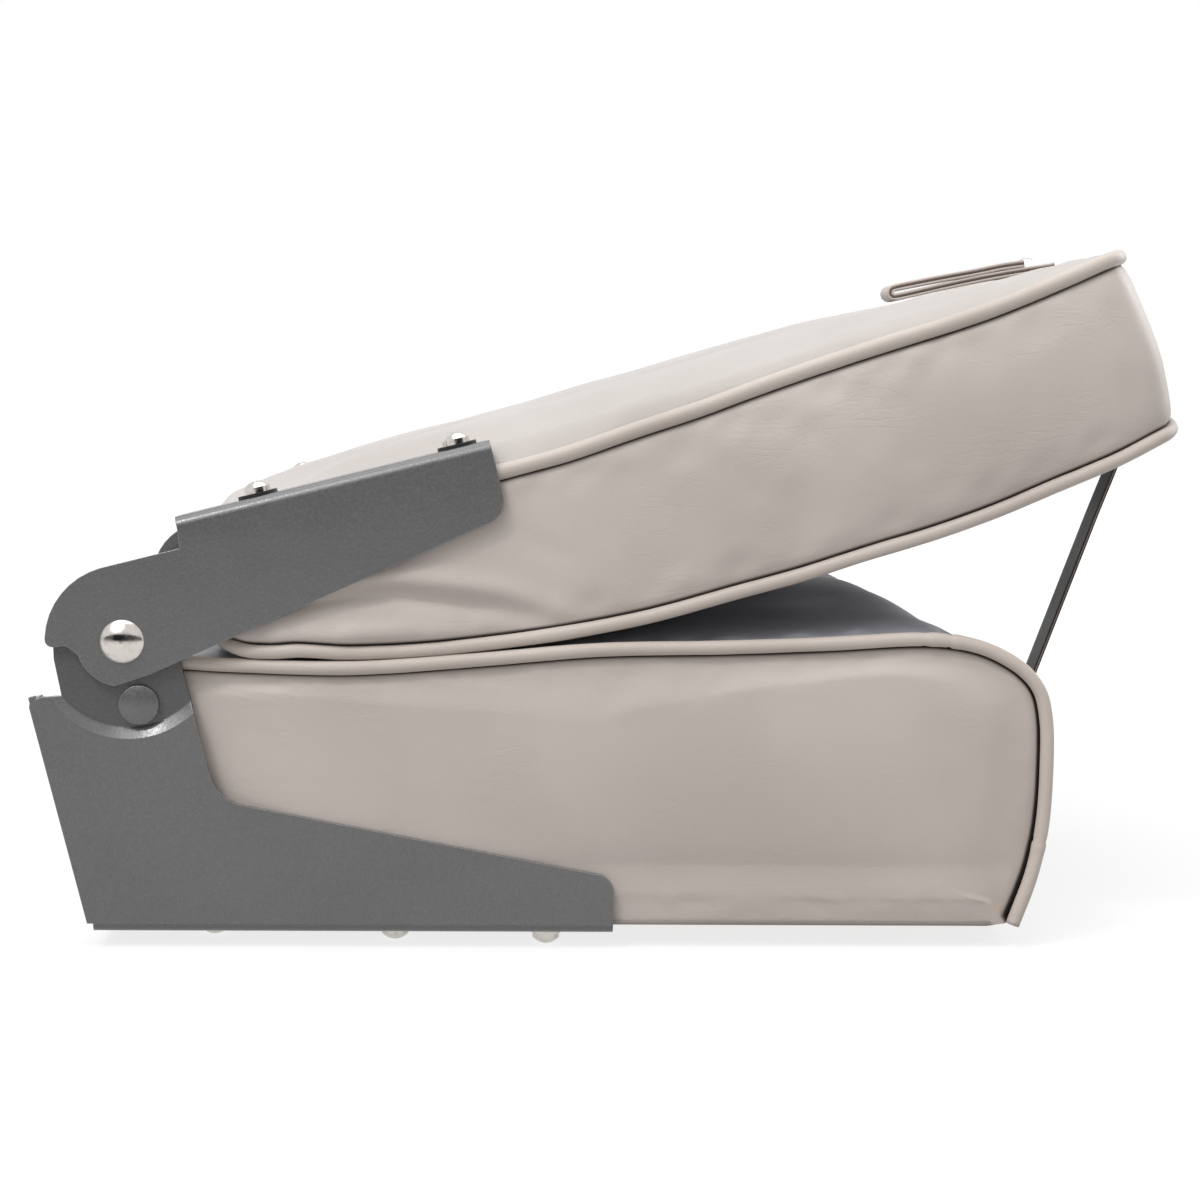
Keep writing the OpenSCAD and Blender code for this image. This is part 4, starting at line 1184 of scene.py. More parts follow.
@dataclass(frozen=True)
class Welt:
    """Vinyl round a cord: a tube with slight unevenness, creases across it and closed ends.

    Attributes:
        radius: Its mean radius, and so on in millimetres.
        seed: Its unevenness.
        creases: Shares of its length where the vinyl is creased across.
        uneven: Its unevenness, as a share of its radius.
        wave: Length of that unevenness' waves.
        dip: Depth and half width of a crease.
        ridge: Height and half width of the ridge beside it.
        ridge_off: Distance of that ridge.
        corners: Corners of its section.
        caps: Sizes of the rings that close its ends, as shares.
    """

    radius: float
    seed: int
    creases: tuple[float, ...] = ()
    uneven: float = 0.012
    wave: float = 26.0
    dip: tuple[float, float] = (0.5, 0.9)
    ridge: tuple[float, float] = (0.22, 2.6)
    ridge_off: float = 3.0
    corners: int = 20
    caps: tuple[float, float] = (0.02, 0.7)

    def piece(self, name: str, path: Array, across: Array, up: Array, closed: bool) -> Piece:
        """The welt along its centre line.

        Args:
            name: Name of the piece.
            path: Its centre line.
            across: Unit vectors across the path.
            up: Unit vectors out of the cushion, square to the path.
            closed: Whether it is a loop.

        Returns:
            The piece.
        """
        turns = np.linspace(0, 2 * np.pi, self.corners, endpoint=False)
        way = np.concatenate([[0.0], np.cumsum(np.linalg.norm(np.diff(path, axis=0), axis=1))])
        radius = self.radius * (1 + self.uneven * ripple(path, self.wave, self.seed))
        for share in self.creases:
            off = way - share * way[-1]
            radius = radius - self.dip[0] * np.exp(-((off / self.dip[1]) ** 2))
            radius = radius + self.ridge[0] * np.exp(-(((off - self.ridge_off) / self.ridge[1]) ** 2))
        profile = np.stack([np.cos(turns), np.sin(turns)], -1) * radius[:, None, None]
        grid = swept(path, across, up, profile, closed)
        if closed:
            out = grid - np.concatenate([path, path[:1]])[:, None]
        else:
            grid, out = capped(grid, path, *self.caps)
        return make_piece(name, grid, out, loop=True)


def patch_rows(
    ring: Array, normals: Array, middle: Array, insets: Array, scales: Array
) -> tuple[Array, Array, Array]:
    """Rings of a panel from its sewn edge to its middle.

    The first rings lie at set distances inside the outline, and the others shrink towards
    the middle.

    Args:
        ring: Closed outline, one point a row.
        normals: Its outward normals.
        middle: Point that the rings shrink to.
        insets: Distances inside the outline.
        scales: Shares of the last inset ring, falling.

    Returns:
        Flat places of all rings, their distances from the outline, and their shares of the way out.
    """
    edge = ring - normals * insets[:, None, None]
    inner = middle + (edge[-1] - middle) * scales[:, None, None]
    reach = np.linalg.norm(ring - middle, axis=1)
    places = np.concatenate([edge, inner])
    out = np.linalg.norm(places - middle, axis=2) / reach
    near = np.broadcast_to(insets[:, None], edge.shape[:2])
    return places, np.concatenate([near, insets[-1] + (1 - out[len(insets) :]) * reach]), out


@dataclass
class SeatCushion:
    """The seat: a crowned charcoal top, light side panels, and piping between them.

    Sizes are in millimetres, and lie in the part's own frame. Spans are shares of its length.

    Attributes:
        rear_x: Its rear end.
        floor_z: Its lower edge.
        crown: How far the top panel stands over the side outline in the middle.
        crown_power: How square that crown is across.
        flare: How much further out each side lies past the flare's span.
        bulge: Bulge of a side panel, which grows over its span and upwards from bulge_from.
        bulge_reach: Distances from the piping over which a side panel reaches its bulge.
        edge_roll: How far a side panel draws in towards its piping.
        floor_roll: How far it draws in at the floor, and the height below which it does.
        pipe_y: Distance of the piping from the middle plane.
        outline_shares: Side outline from the rear bottom edge over the top to the front one:
            shares of the length and the height, and of the crown there.
        folds: Soft folds of the side panels, as X and Z.
    """

    rear_x: float = -224.0
    length: float = 432.0
    height: float = 136.0
    floor_z: float = -1.0
    crown: float = 18.0
    crown_power: float = 2.4
    flare: float = 5.0
    flare_span: tuple[float, float] = (0.09, 0.24)
    bulge: float = 4.0
    bulge_span: tuple[float, float] = (0.18, 0.66)
    bulge_from: float = 0.2
    bulge_reach: tuple[float, float] = (2.0, 34.0)
    edge_roll: float = 2.0
    floor_roll: tuple[float, float] = (1.1, 20.0)
    pipe_y: float = 205.0
    welt_r: float = 3.2
    creases: tuple[float, ...] = (0.735, 0.752, 0.936)
    middle_height: float = 0.46
    top_uneven: Unevenness = Unevenness(0.28, 17.0, 0.5, 95.0, (8.0, 40.0), (11, 12), reach=9.0)
    side_uneven: Unevenness = Unevenness(0.22, 15.0, 0.45, 80.0, (8.0, 40.0), (21, 31))
    top_cap: float = 1.8
    side_cap: float = 0.45
    fill: float = 0.85
    rows: int = 340
    columns: int = 66
    rings: int = 52
    floor_columns: int = 152
    outline_shares: Table = (
        (0, 0, 0), (0, 0.3, 0), (0, 0.66, 0), (0.007, 0.79, 0), (0.028, 0.862, 0),
        (0.06, 0.889, 0), (0.125, 0.884, 0), (0.234, 0.88, 0), (0.285, 0.886, 0),
        (0.388, 0.914, 0.02), (0.513, 0.951, 0.2), (0.645, 0.964, 0.56), (0.754, 0.98, 0.72),
        (0.848, 0.999, 0.56), (0.884, 0.995, 0.14), (0.917, 0.976, -0.5), (0.942, 0.946, -0.7),
        (0.971, 0.888, -0.35), (0.99, 0.812, 0.1), (0.998, 0.71, 0.4), (1, 0.545, 0.7),
        (0.997, 0.34, 0.8), (0.987, 0.175, 0.8), (0.968, 0, 0.7),
    )
    folds: tuple[Fold, ...] = (
        Fold(((-30.0, 27.0), (40.0, 24.0), (120.0, 22.0), (178.0, 25.0)), 10.0, 0.8),
        Fold(((120.0, 12.0), (165.0, 9.0), (185.0, 12.0)), 9.0, -1.0),
        Fold(((146.0, 96.0), (168.0, 84.0), (184.0, 66.0)), 12.0, 0.6),
    )

    def __post_init__(self) -> None:
        """Work out the side outline, its normals, its crown and the way that the crown pushes."""
        scale = [self.length, self.height, self.crown]
        places = np.array(self.outline_shares) * scale + [self.rear_x, self.floor_z, 0.0]
        path = smooth_path(places, self.rows)
        self.line = path[:, :2]
        self.crowns = path[:, 2]
        self.normals = left_normals(self.line, closed=False)
        self.push = np.maximum(self.normals, 0.0)
        self.push /= np.maximum(np.linalg.norm(self.push, axis=1), 0.2)[:, None]

    def grown(self, x: Array, span: tuple[float, float]) -> Array:
        """Smooth step along the cushion at x, between two shares of its length."""
        return blend(x, self.rear_x + span[0] * self.length, self.rear_x + span[1] * self.length)

    def half_width(self, x: Array) -> Array:
        """Distance of the piping from the middle plane at x."""
        return self.pipe_y + self.flare * self.grown(x, self.flare_span)

    def bulge_at(self, x: Array, z: Array) -> Array:
        """Bulge of a side panel: a parabola upwards that grows from the hinge forwards."""
        t = np.clip((z / self.height - self.bulge_from) / (1 - self.bulge_from), 0.0, 1.0)
        return self.bulge * 4 * t * (1 - t) * self.grown(x, self.bulge_span)

    def top_cover(self) -> Cover:
        """The top panel from the rear bottom edge over the top to the front bottom edge.

        It stands over the side outline by the crown times 1 - k^2.4, where k is the share of the
        way from the middle plane to the piping.

        Returns:
            The panel.
        """
        edge = SEWING.edge_rows()
        half = np.concatenate([edge, np.linspace(edge[-1], self.pipe_y, self.columns)[1:]])
        q = np.concatenate([half, half[-2::-1]])
        side = np.concatenate([np.full(len(half), -1.0), np.ones(len(half) - 1)])
        width = self.half_width(self.line[:, :1])
        y = side * width * (1 - q / self.pipe_y)
        share = np.clip(np.abs(y) / (width - SEWING.pipe_r), 0, 1)
        rise = self.crowns[:, None] * (1 - share**self.crown_power)
        down = SEWING.pipe_proud + SEWING.tuck(q)
        flat = self.line[:, None] - self.normals[:, None] * down[:, None]
        flat = flat + self.push[:, None] * rise[..., None]
        grid = upright(flat, y)
        out = np.broadcast_to(upright(self.normals)[:, None], grid.shape)
        grid = grid + out * self.top_uneven.at(grid, q)[..., None]
        row = np.arange(len(self.line), dtype=float)
        ends = 1 - blend(np.minimum(row, row[::-1]), 1.0, 8.0)
        held = np.maximum(1 - blend(q, 4.0, 14.0), ends[:, None])
        return Cover(grid, out, held, np.broadcast_to(SEWING.seam(q), held.shape), self.top_cap)

    def side_cover(self, side: Side) -> Cover:
        """One side panel: rings along its sewn edge and the floor, and others that shrink to its middle.

        Args:
            side: Which side.

        Returns:
            The panel.
        """
        edge = SEWING.edge_rows()
        insets = edge + SEWING.pipe_r
        seamed = self.line - self.normals * insets[:, None, None]
        share = np.linspace(0, 1, self.floor_columns)[1:-1, None]
        floor = seamed[:, -1:] * (1 - share) + seamed[:, :1] * share
        rings = np.concatenate([seamed, floor], axis=1)
        rise = (insets - insets[0])[:, None]
        rings[..., 1] = self.floor_z + rise + (rings[..., 1] - self.floor_z) * (1 - rise / self.height)
        sewn = np.where(np.arange(rings.shape[1]) < len(self.line), 1.0, 0.0)
        middle = np.array([self.rear_x + self.length / 2, self.height * self.middle_height])
        scales = np.linspace(1, 0, self.rings)[1:-1, None] ** 0.92
        reach = np.linalg.norm(rings[-1] - middle, axis=1)
        places = np.concatenate([rings, middle + (rings[-1] - middle) * scales[..., None]])
        q = np.concatenate([np.broadcast_to(edge[:, None], rings.shape[:2]), edge[-1] + (1 - scales) * reach])
        x, z = places[..., 0], places[..., 1]
        free = 1.0 - blend(z, self.floor_z + 12.0, self.floor_z) * (1 - sewn)
        out_y = self.half_width(x) + SEWING.pipe_r - SEWING.pipe_proud
        out_y = out_y + self.bulge_at(x, z) * blend(q, *self.bulge_reach)
        out_y = out_y + self.side_uneven.at(upright(places), q, side.value) * free
        out_y = out_y - (SEWING.tuck(q) + self.edge_roll * (1 - blend(q, 0.0, self.bulge_reach[1]))) * sewn
        roll, below = self.floor_roll
        out_y = out_y - roll * (1 - np.clip((z - self.floor_z) / below, 0.0, 1.0)) ** 2
        for fold in self.folds:
            out_y = out_y - fold.sink(places)
        grid = upright(places, side.value * out_y)
        out = np.broadcast_to([0.0, float(side.value), 0.0], grid.shape)
        held = np.where(sewn > 0, 1 - blend(q, 4.0, 14.0), 1 - blend(q, 6.0, 16.0))
        return Cover(grid, out, held, SEWING.seam(q) * sewn, self.side_cap, True, grid[-1].mean(0))

    def pipe_path(self, side: Side) -> tuple[Array, Array, Array]:
        """Centre line of one side's piping, with its unit vectors across and out.

        Args:
            side: Which side.

        Returns:
            Points, unit vectors across, and unit vectors out.
        """
        y = side.value * self.half_width(self.line[:, 0])
        out = upright(self.normals)
        across = np.broadcast_to([0.0, float(side.value), 0.0], out.shape)
        return upright(self.line - self.normals * SEWING.pipe_r, y), across, out

    def build(self, finisher: Finisher) -> None:
        """Args:
            finisher: Hands out the finishes.
        """
        top = self.top_cover().piece("seat_top_cover")
        nodes = ("seat_top_panel", "seat_foam")
        finisher.declare(top, "charcoal_vinyl", "seat", nodes)
        for side in Side:
            word = side.name.lower()
            panel = self.side_cover(side).piece(f"seat_side_{word}")
            nodes = (f"seat_side_panel_{word}",)
            finisher.declare(panel, "seat_vinyl", "seat", nodes)
            welt = Welt(self.welt_r, 41 + side.value, self.creases)
            tube = welt.piece(f"seat_welt_{word}", *self.pipe_path(side), closed=False)
            finisher.declare(tube, "piping_vinyl", "seat", (f"seat_piping_{word}",))


class Face(Enum):
    """Faces of the backrest, by the sign of v."""

    FRONT = -1
    BACK = 1


@dataclass
class Backrest:
    """The backrest cushion, drawn in its own frame: u along it from the pivot, v out of its back.

    Sizes are in millimetres. Its outlines and crowns are pairs: a share of its length, or of the
    way from its middle to its edge, and a share of the size that they shape.

    Attributes:
        pivot: X and Z of its hinge, about which it is turned up by the angle in degrees.
        start: Distance of the cushion from the pivot.
        back_crown: How far the back panel stands over the back outline, and so the front's.
        bulge: Bulge of the boxing, which leaves a margin at either piping.
        plan_shares: Half of its plan, from the hinge's end to the top end.
        rim_shares: Fall of the back panel's crown towards its sides, and end_shares towards the
            hinge's end; dome_shares is the front panel's.
        lean: How far the top end leans back, over its span and from lean_from_v up.
        pressed_u: Where the arms' flanges press on the back panel, along it, and pressed_y across.
        folds: Soft folds of the boxing, as u and v.
    """

    pivot: tuple[float, float] = (-215.3, 127.0)
    angle: float = 14.7
    start: float = 40.0
    length: float = 480.0
    thickness: float = 100.0
    half_width: float = 211.4
    back_crown: float = 24.0
    front_crown: float = 4.0
    bulge: float = 5.0
    margin: float = 3.35
    lean: float = 7.0
    lean_span: tuple[float, float] = (0.72, 0.96)
    lean_from_v: float = 6.5
    pressed_u: tuple[float, float] = (184.0, 200.0)
    pressed_y: tuple[float, float] = (168.0, 180.0)
    boxing_uneven: Unevenness = Unevenness(0.25, 15.0, 0.5, 70.0, (6.0, 24.0), (51, 52))
    panel_uneven: Unevenness = Unevenness(0.22, 16.0, 0.5, 90.0, (30.0, 60.0), (61, 62))
    cap: float = 0.5
    fill: float = 0.8
    columns: int = 480
    boxing_rows: int = 34
    rings: int = 60
    plan_shares: Table = (
        (-0.012, 0), (-0.012, 0.45), (-0.012, 0.7), (-0.011, 0.86), (-0.005, 0.94), (0.012, 0.985),
        (0.045, 1), (0.17, 1), (0.3, 1), (0.42, 1), (0.54, 1), (0.66, 1), (0.78, 1), (0.853, 0.998),
        (0.9, 0.985), (0.927, 0.95), (0.944, 0.88), (0.962, 0.75), (0.985, 0.5), (1, 0.25), (1.005, 0),
    )
    front_line_shares: Table = (
        (-0.012, -0.1), (0, -0.15), (0.02, -0.204), (0.045, -0.241), (0.071, -0.264),
        (0.11, -0.322), (0.162, -0.379), (0.254, -0.446), (0.348, -0.488), (0.39, -0.497),
        (0.49, -0.487), (0.546, -0.481), (0.613, -0.46), (0.685, -0.442), (0.742, -0.414),
        (0.804, -0.367), (0.865, -0.323), (0.919, -0.274), (1, -0.262),
    )
    back_line_shares: Table = (
        (0, 0.36), (0.3, 0.361), (0.354, 0.367), (0.431, 0.4), (0.492, 0.423), (0.55, 0.455),
        (0.679, 0.508), (0.738, 0.525), (0.788, 0.546), (0.848, 0.584), (0.89, 0.614),
        (0.919, 0.632), (1, 0.627),
    )
    back_crown_shares: Table = (
        (0, 1), (0.36, 1), (0.45, 0.94), (0.55, 0.82), (0.69, 0.68), (0.81, 0.44), (0.9, 0.17), (1, 0.02),
    )
    front_crown_shares: Table = ((0, 0.1), (0.3, 0.1), (0.6, 0.7), (1, 1))
    bulge_shares: Table = ((0, 0.2), (0.31, 0.2), (0.5, 0.8), (0.85, 1), (0.95, 0.3), (1, 0.2))
    rim_shares: Table = (
        (0, 1), (0.45, 0.94), (0.72, 0.78), (0.868, 0.427), (0.94, 0.427), (0.975, 0.0), (1, 0.0),
    )
    end_shares: Table = (
        (0, 1), (0.45, 0.96), (0.72, 0.88), (0.868, 0.76), (0.94, 0.62), (0.965, 0.38), (0.982, 0.1), (1, 0),
    )
    dome_shares: Table = ((0, 1), (0.5, 0.9), (0.85, 0.55), (0.96, 0.0), (1, 0.0))
    folds: tuple[Fold, ...] = (
        Fold(
            ((62.0, -1.0), (100.0, -5.0), (124.0, -10.0), (141.0, -16.2), (166.0, -26.0), (192.0, -41.0)),
            4.6, 3.6,
        ),
        Fold(((78.0, 4.0), (118.0, 0.0), (142.0, -8.5), (166.0, -18.0), (190.0, -31.0)), 6.0, -2.6),
        Fold(((56.0, -13.0), (92.0, -21.0), (126.0, -27.0), (150.0, -35.0)), 6.0, -3.0),
        Fold(((176.0, 12.0), (188.0, -2.0), (206.0, -14.0)), 5.0, 0.9),
        Fold(((276.0, 16.0), (287.0, 4.0), (292.0, -10.0)), 5.5, 0.6),
        Fold(((316.0, 20.0), (330.0, 6.0), (336.0, -8.0)), 6.0, 0.5),
        Fold(((468.0, 40.0), (474.0, 18.0), (470.0, -8.0)), 6.0, 0.8),
    )

    def __post_init__(self) -> None:
        """Work out the plan outline and its normals."""
        half = np.array(self.plan_shares) * [self.length, self.half_width] + [self.start, 0.0]
        self.ring = smooth_path(np.vstack([half, (half[1:-1] * [1, -1])[::-1]]), self.columns, closed=True)
        self.normals = left_normals(self.ring, closed=True)
        self.middle = np.array([self.start + self.length / 2, 0.0])

    def along(self, table: Table, u: Array) -> Array:
        """Value at u of a line that is drawn over shares of the cushion's length."""
        return line_at(table, (u - self.start) / self.length)

    def outline_v(self, face: Face, u: Array) -> Array:
        """Outline of the front or the back at u."""
        table = self.back_line_shares if face is Face.BACK else self.front_line_shares
        return self.thickness * self.along(table, u)

    def crown_v(self, u: Array) -> Array:
        """Height of the back panel over the back outline at u, in its middle."""
        return self.back_crown * self.along(self.back_crown_shares, u)

    def leaned(self, places: Array) -> Array:
        """Places with the top end leaning back, from the press stud up to the back piping.

        Args:
            places: Places (u, y, v).

        Returns:
            The places, each moved back by the lean times a smooth step along and one upwards.
        """
        u, y, v = np.moveaxis(places, -1, 0)
        low, high = (self.start + self.length * s for s in self.lean_span)
        up = (v - self.lean_from_v) / (self.outline_v(Face.BACK, u) - self.lean_from_v)
        return np.stack([u - self.lean * blend(u, low, high) * blend(up, 0.0, 1.0), y, v], -1)

    def world(self, places: Array) -> Array:
        """Places turned by the angle and moved to the pivot.

        Args:
            places: Places (u, y, v).

        Returns:
            The places in the part's frame.
        """
        a = math.radians(self.angle)
        u, y, v = np.moveaxis(places, -1, 0)
        x = self.pivot[0] + u * math.cos(a) - v * math.sin(a)
        return np.stack([x, y, self.pivot[1] + u * math.sin(a) + v * math.cos(a)], -1)

    def turned(self, ways: Array) -> Array:
        """Directions (u, y, v) turned into the part's frame."""
        return self.world(ways) - self.world(np.zeros(3))

    def boxing_cover(self) -> Cover:
        """The band between the two pipings, all round, its bulge a parabola from one to the other.

        Returns:
            The band.
        """
        u, edge = self.ring[:, 0], SEWING.edge_rows()
        low = (self.outline_v(Face.FRONT, u) + SEWING.pipe_r)[:, None]
        high = (self.outline_v(Face.BACK, u) - SEWING.pipe_r)[:, None]
        span = high - low
        inner = low + edge[-1] + (span - 2 * edge[-1]) * np.linspace(0, 1, self.boxing_rows)[1:-1]
        v = np.concatenate([low + edge, inner, (high - edge)[:, ::-1]], axis=1)
        q = np.minimum(v - low, high - v)
        s = np.clip((v - low - self.margin) / (span - 2 * self.margin), 0, 1)
        inset = SEWING.pipe_proud + SEWING.tuck(q)
        inset = inset - self.bulge * self.along(self.bulge_shares, u)[:, None] * 4 * s * (1 - s)
        flat = np.stack([np.broadcast_to(u[:, None], v.shape), v], -1)
        on_side = np.where(np.abs(self.normals[:, 1]) > 0.7, 1.0, 0.0)[:, None]
        for fold in self.folds:
            inset = inset + fold.sink(flat) * on_side * np.clip(1.4 - SEWING.seam(q), 0, 1)
        rough = np.stack([flat[..., 0], np.broadcast_to(self.ring[:, 1:], v.shape), v], -1)
        inset = inset - self.boxing_uneven.at(rough, q)
        plan = self.ring[:, None] - self.normals[:, None] * inset[..., None]
        grid = np.concatenate([plan, v[..., None]], -1)
        out = np.broadcast_to(np.column_stack([self.normals, 0 * u])[:, None], grid.shape)
        held = np.maximum(1 - blend(q, 4.0, 13.0), np.where(u < 185, 0.8, 0.0)[:, None])
        grid, out = self.world(self.leaned(grid)), self.turned(out)
        both = (np.swapaxes(values, 0, 1) for values in (grid, out, held, SEWING.seam(q)))
        return Cover(*both, cap=self.cap, loop=True)

    def panel(self, face: Face) -> Cover:
        """The back panel or the front panel.

        Its height over the outline is the crown at u times a share that falls from the middle
        to the edge.

        Args:
            face: Which of the two.

        Returns:
            The panel.
        """
        scales = np.linspace(1, 0, self.rings)[1:-1] ** 0.9
        insets = SEWING.edge_rows() + SEWING.pipe_r
        places, far, out_share = patch_rows(self.ring, self.normals, self.middle, insets, scales)
        q = far - SEWING.pipe_r
        u, y = places[..., 0], places[..., 1]
        near = blend(out_share, 0.8, 0.95)
        base = self.outline_v(face, u * (1 - near) + self.ring[:, 0] * near)
        pressed = np.zeros(u.shape)
        if face is Face.BACK:
            end = 1 - blend(np.abs(self.ring[:, 1]) / self.half_width, 0.6, 0.88)
            end = end * (self.ring[:, 0] < self.middle[0])
            rise = line_at(self.rim_shares, out_share) * (1 - end) + line_at(self.end_shares, out_share) * end
            rise = rise * self.crown_v(u)
            pressed = blend(np.abs(y), *self.pressed_y) * (1 - blend(u, *self.pressed_u))
        else:
            rise = line_at(self.dome_shares, out_share) * self.along(self.front_crown_shares, u)
            rise = rise * self.front_crown
        seeds = 0 if face is Face.BACK else 10
        rise = rise - SEWING.pipe_proud - SEWING.tuck(q)
        v = base + face.value * rise
        uneven = self.panel_uneven.at(np.stack([u, y, v], -1), q, seeds)
        grid = np.stack([u, y, v + face.value * uneven * (1 - pressed)], -1)
        out = np.broadcast_to(self.turned(np.array([0.0, 0.0, face.value])), grid.shape)
        held = np.maximum(1 - blend(q, 4.0, 14.0), pressed)
        grid = self.world(self.leaned(grid) if face is Face.BACK else grid)
        return Cover(grid, out, held, SEWING.seam(q), self.cap, True, grid[-1].mean(0))

    def pipe_path(self, face: Face) -> tuple[Array, Array, Array]:
        """Centre line of the piping on the front or back outline, with unit vectors out and along v.

        Args:
            face: Which of the two.

        Returns:
            Points, unit vectors out of the plan, and unit vectors square to both.
        """
        v = self.outline_v(face, self.ring[:, 0]) - face.value * SEWING.pipe_r
        centre = np.column_stack([self.ring - self.normals * SEWING.pipe_r, v])
        path = self.world(self.leaned(centre))
        out = self.turned(np.column_stack([self.normals, np.zeros(len(v))]))
        ahead = np.roll(path, -1, 0) - np.roll(path, 1, 0)
        ahead /= np.linalg.norm(ahead, axis=1)[:, None]
        up = np.cross(ahead, out)
        return path, out, up / np.linalg.norm(up, axis=1)[:, None]

    def build(self, finisher: Finisher) -> None:
        """Args:
            finisher: Hands out the finishes.
        """
        band = ("backrest_boxing", "backrest_foam")
        back = ("backrest_back_panel", "backrest_rear_pad")
        for name, cover, finish, slot, nodes in (
            ("backrest_band", self.boxing_cover(), "grey_vinyl", "grey_vinyl", band),
            # the back panel's finish is the grey vinyl drawn darker: painted shade
            ("backrest_back_cover", self.panel(Face.BACK), "shaded_back_vinyl", "grey_vinyl", back),
            (
                "backrest_front_cover", self.panel(Face.FRONT),
                "charcoal_vinyl", "charcoal_vinyl", ("backrest_front_panel",),
            ),
        ):
            finisher.declare(cover.piece(name), finish, "backrest", nodes)
        for face, radius, seed in ((Face.BACK, 3.6, 82), (Face.FRONT, 3.2, 81)):
            word = face.name.lower()
            path = self.pipe_path(face)
            tube = Welt(radius, seed).piece(f"backrest_{word}_welt", *path, closed=True)
            finisher.declare(tube, "piping_vinyl", "backrest", (f"backrest_{word}_piping",))


# Straps and hem


@dataclass(frozen=True)
class LayeredStrap:
    """A flat strap of two vinyl faces round a core, its edges showing the layers.

    Attributes:
        width: Width in millimetres.
        thick: Thickness in millimetres.
        core: Share of the thickness that is core.
        recess: How far the core lies behind the faces' edges.
        bite: Share of the core's height down to which the faces reach.
        caps: Sizes of the rings that close its ends, as shares.
    """

    width: float
    thick: float
    core: float = 0.42
    recess: float = 0.1
    bite: float = 0.9
    caps: tuple[float, float] = (0.02, 0.85)

    def loft(self, name: str, path: Array, low: float, high: float, half: float) -> Piece:
        """Closed band along a path, rounded at its edges.

        Args:
            name: Name of the piece.
            path: Points in X and Z.
            low: Height off the path of its lower side.
            high: Height of its upper side.
            half: Half its width.

        Returns:
            The piece.
        """
        up = upright(left_normals(path, closed=False))
        line = upright(path)
        r = (high - low) / 2
        turn = np.radians(np.linspace(-90, 90, 7))
        right = np.stack([half - r + r * np.cos(turn), (low + high) / 2 + r * np.sin(turn)], -1)
        across = np.linspace(half - r, r - half, 14)[1:-1]
        top = np.stack([across, np.full(len(across), high)], -1)
        bottom = np.stack([-across, np.full(len(across), low)], -1)
        profile = np.concatenate([right, top, right[::-1] * [-1, 1], bottom])
        grid = swept(line, np.broadcast_to([0.0, 1.0, 0.0], up.shape), up, profile)
        grid, out = capped(grid, line + up * (low + high) / 2, *self.caps)
        return make_piece(name, grid, out, loop=True)

    def layers(self, name: str, path: Array) -> tuple[Piece, Piece]:
        """The two faces as one piece, and the core.

        Args:
            name: Name that the pieces' names start with.
            path: Points in X and Z.

        Returns:
            The faces and the core.
        """
        t, c = self.thick / 2, self.thick * self.core / 2
        upper = self.loft(name + "_upper", path, c * self.bite, t, self.width / 2)
        lower = self.loft(name + "_lower", path, -t, -c * self.bite, self.width / 2)
        core = self.loft(name + "_core", path, -c, c, self.width / 2 - self.recess)
        return join_pieces(name + "_faces", [upper, lower]), core


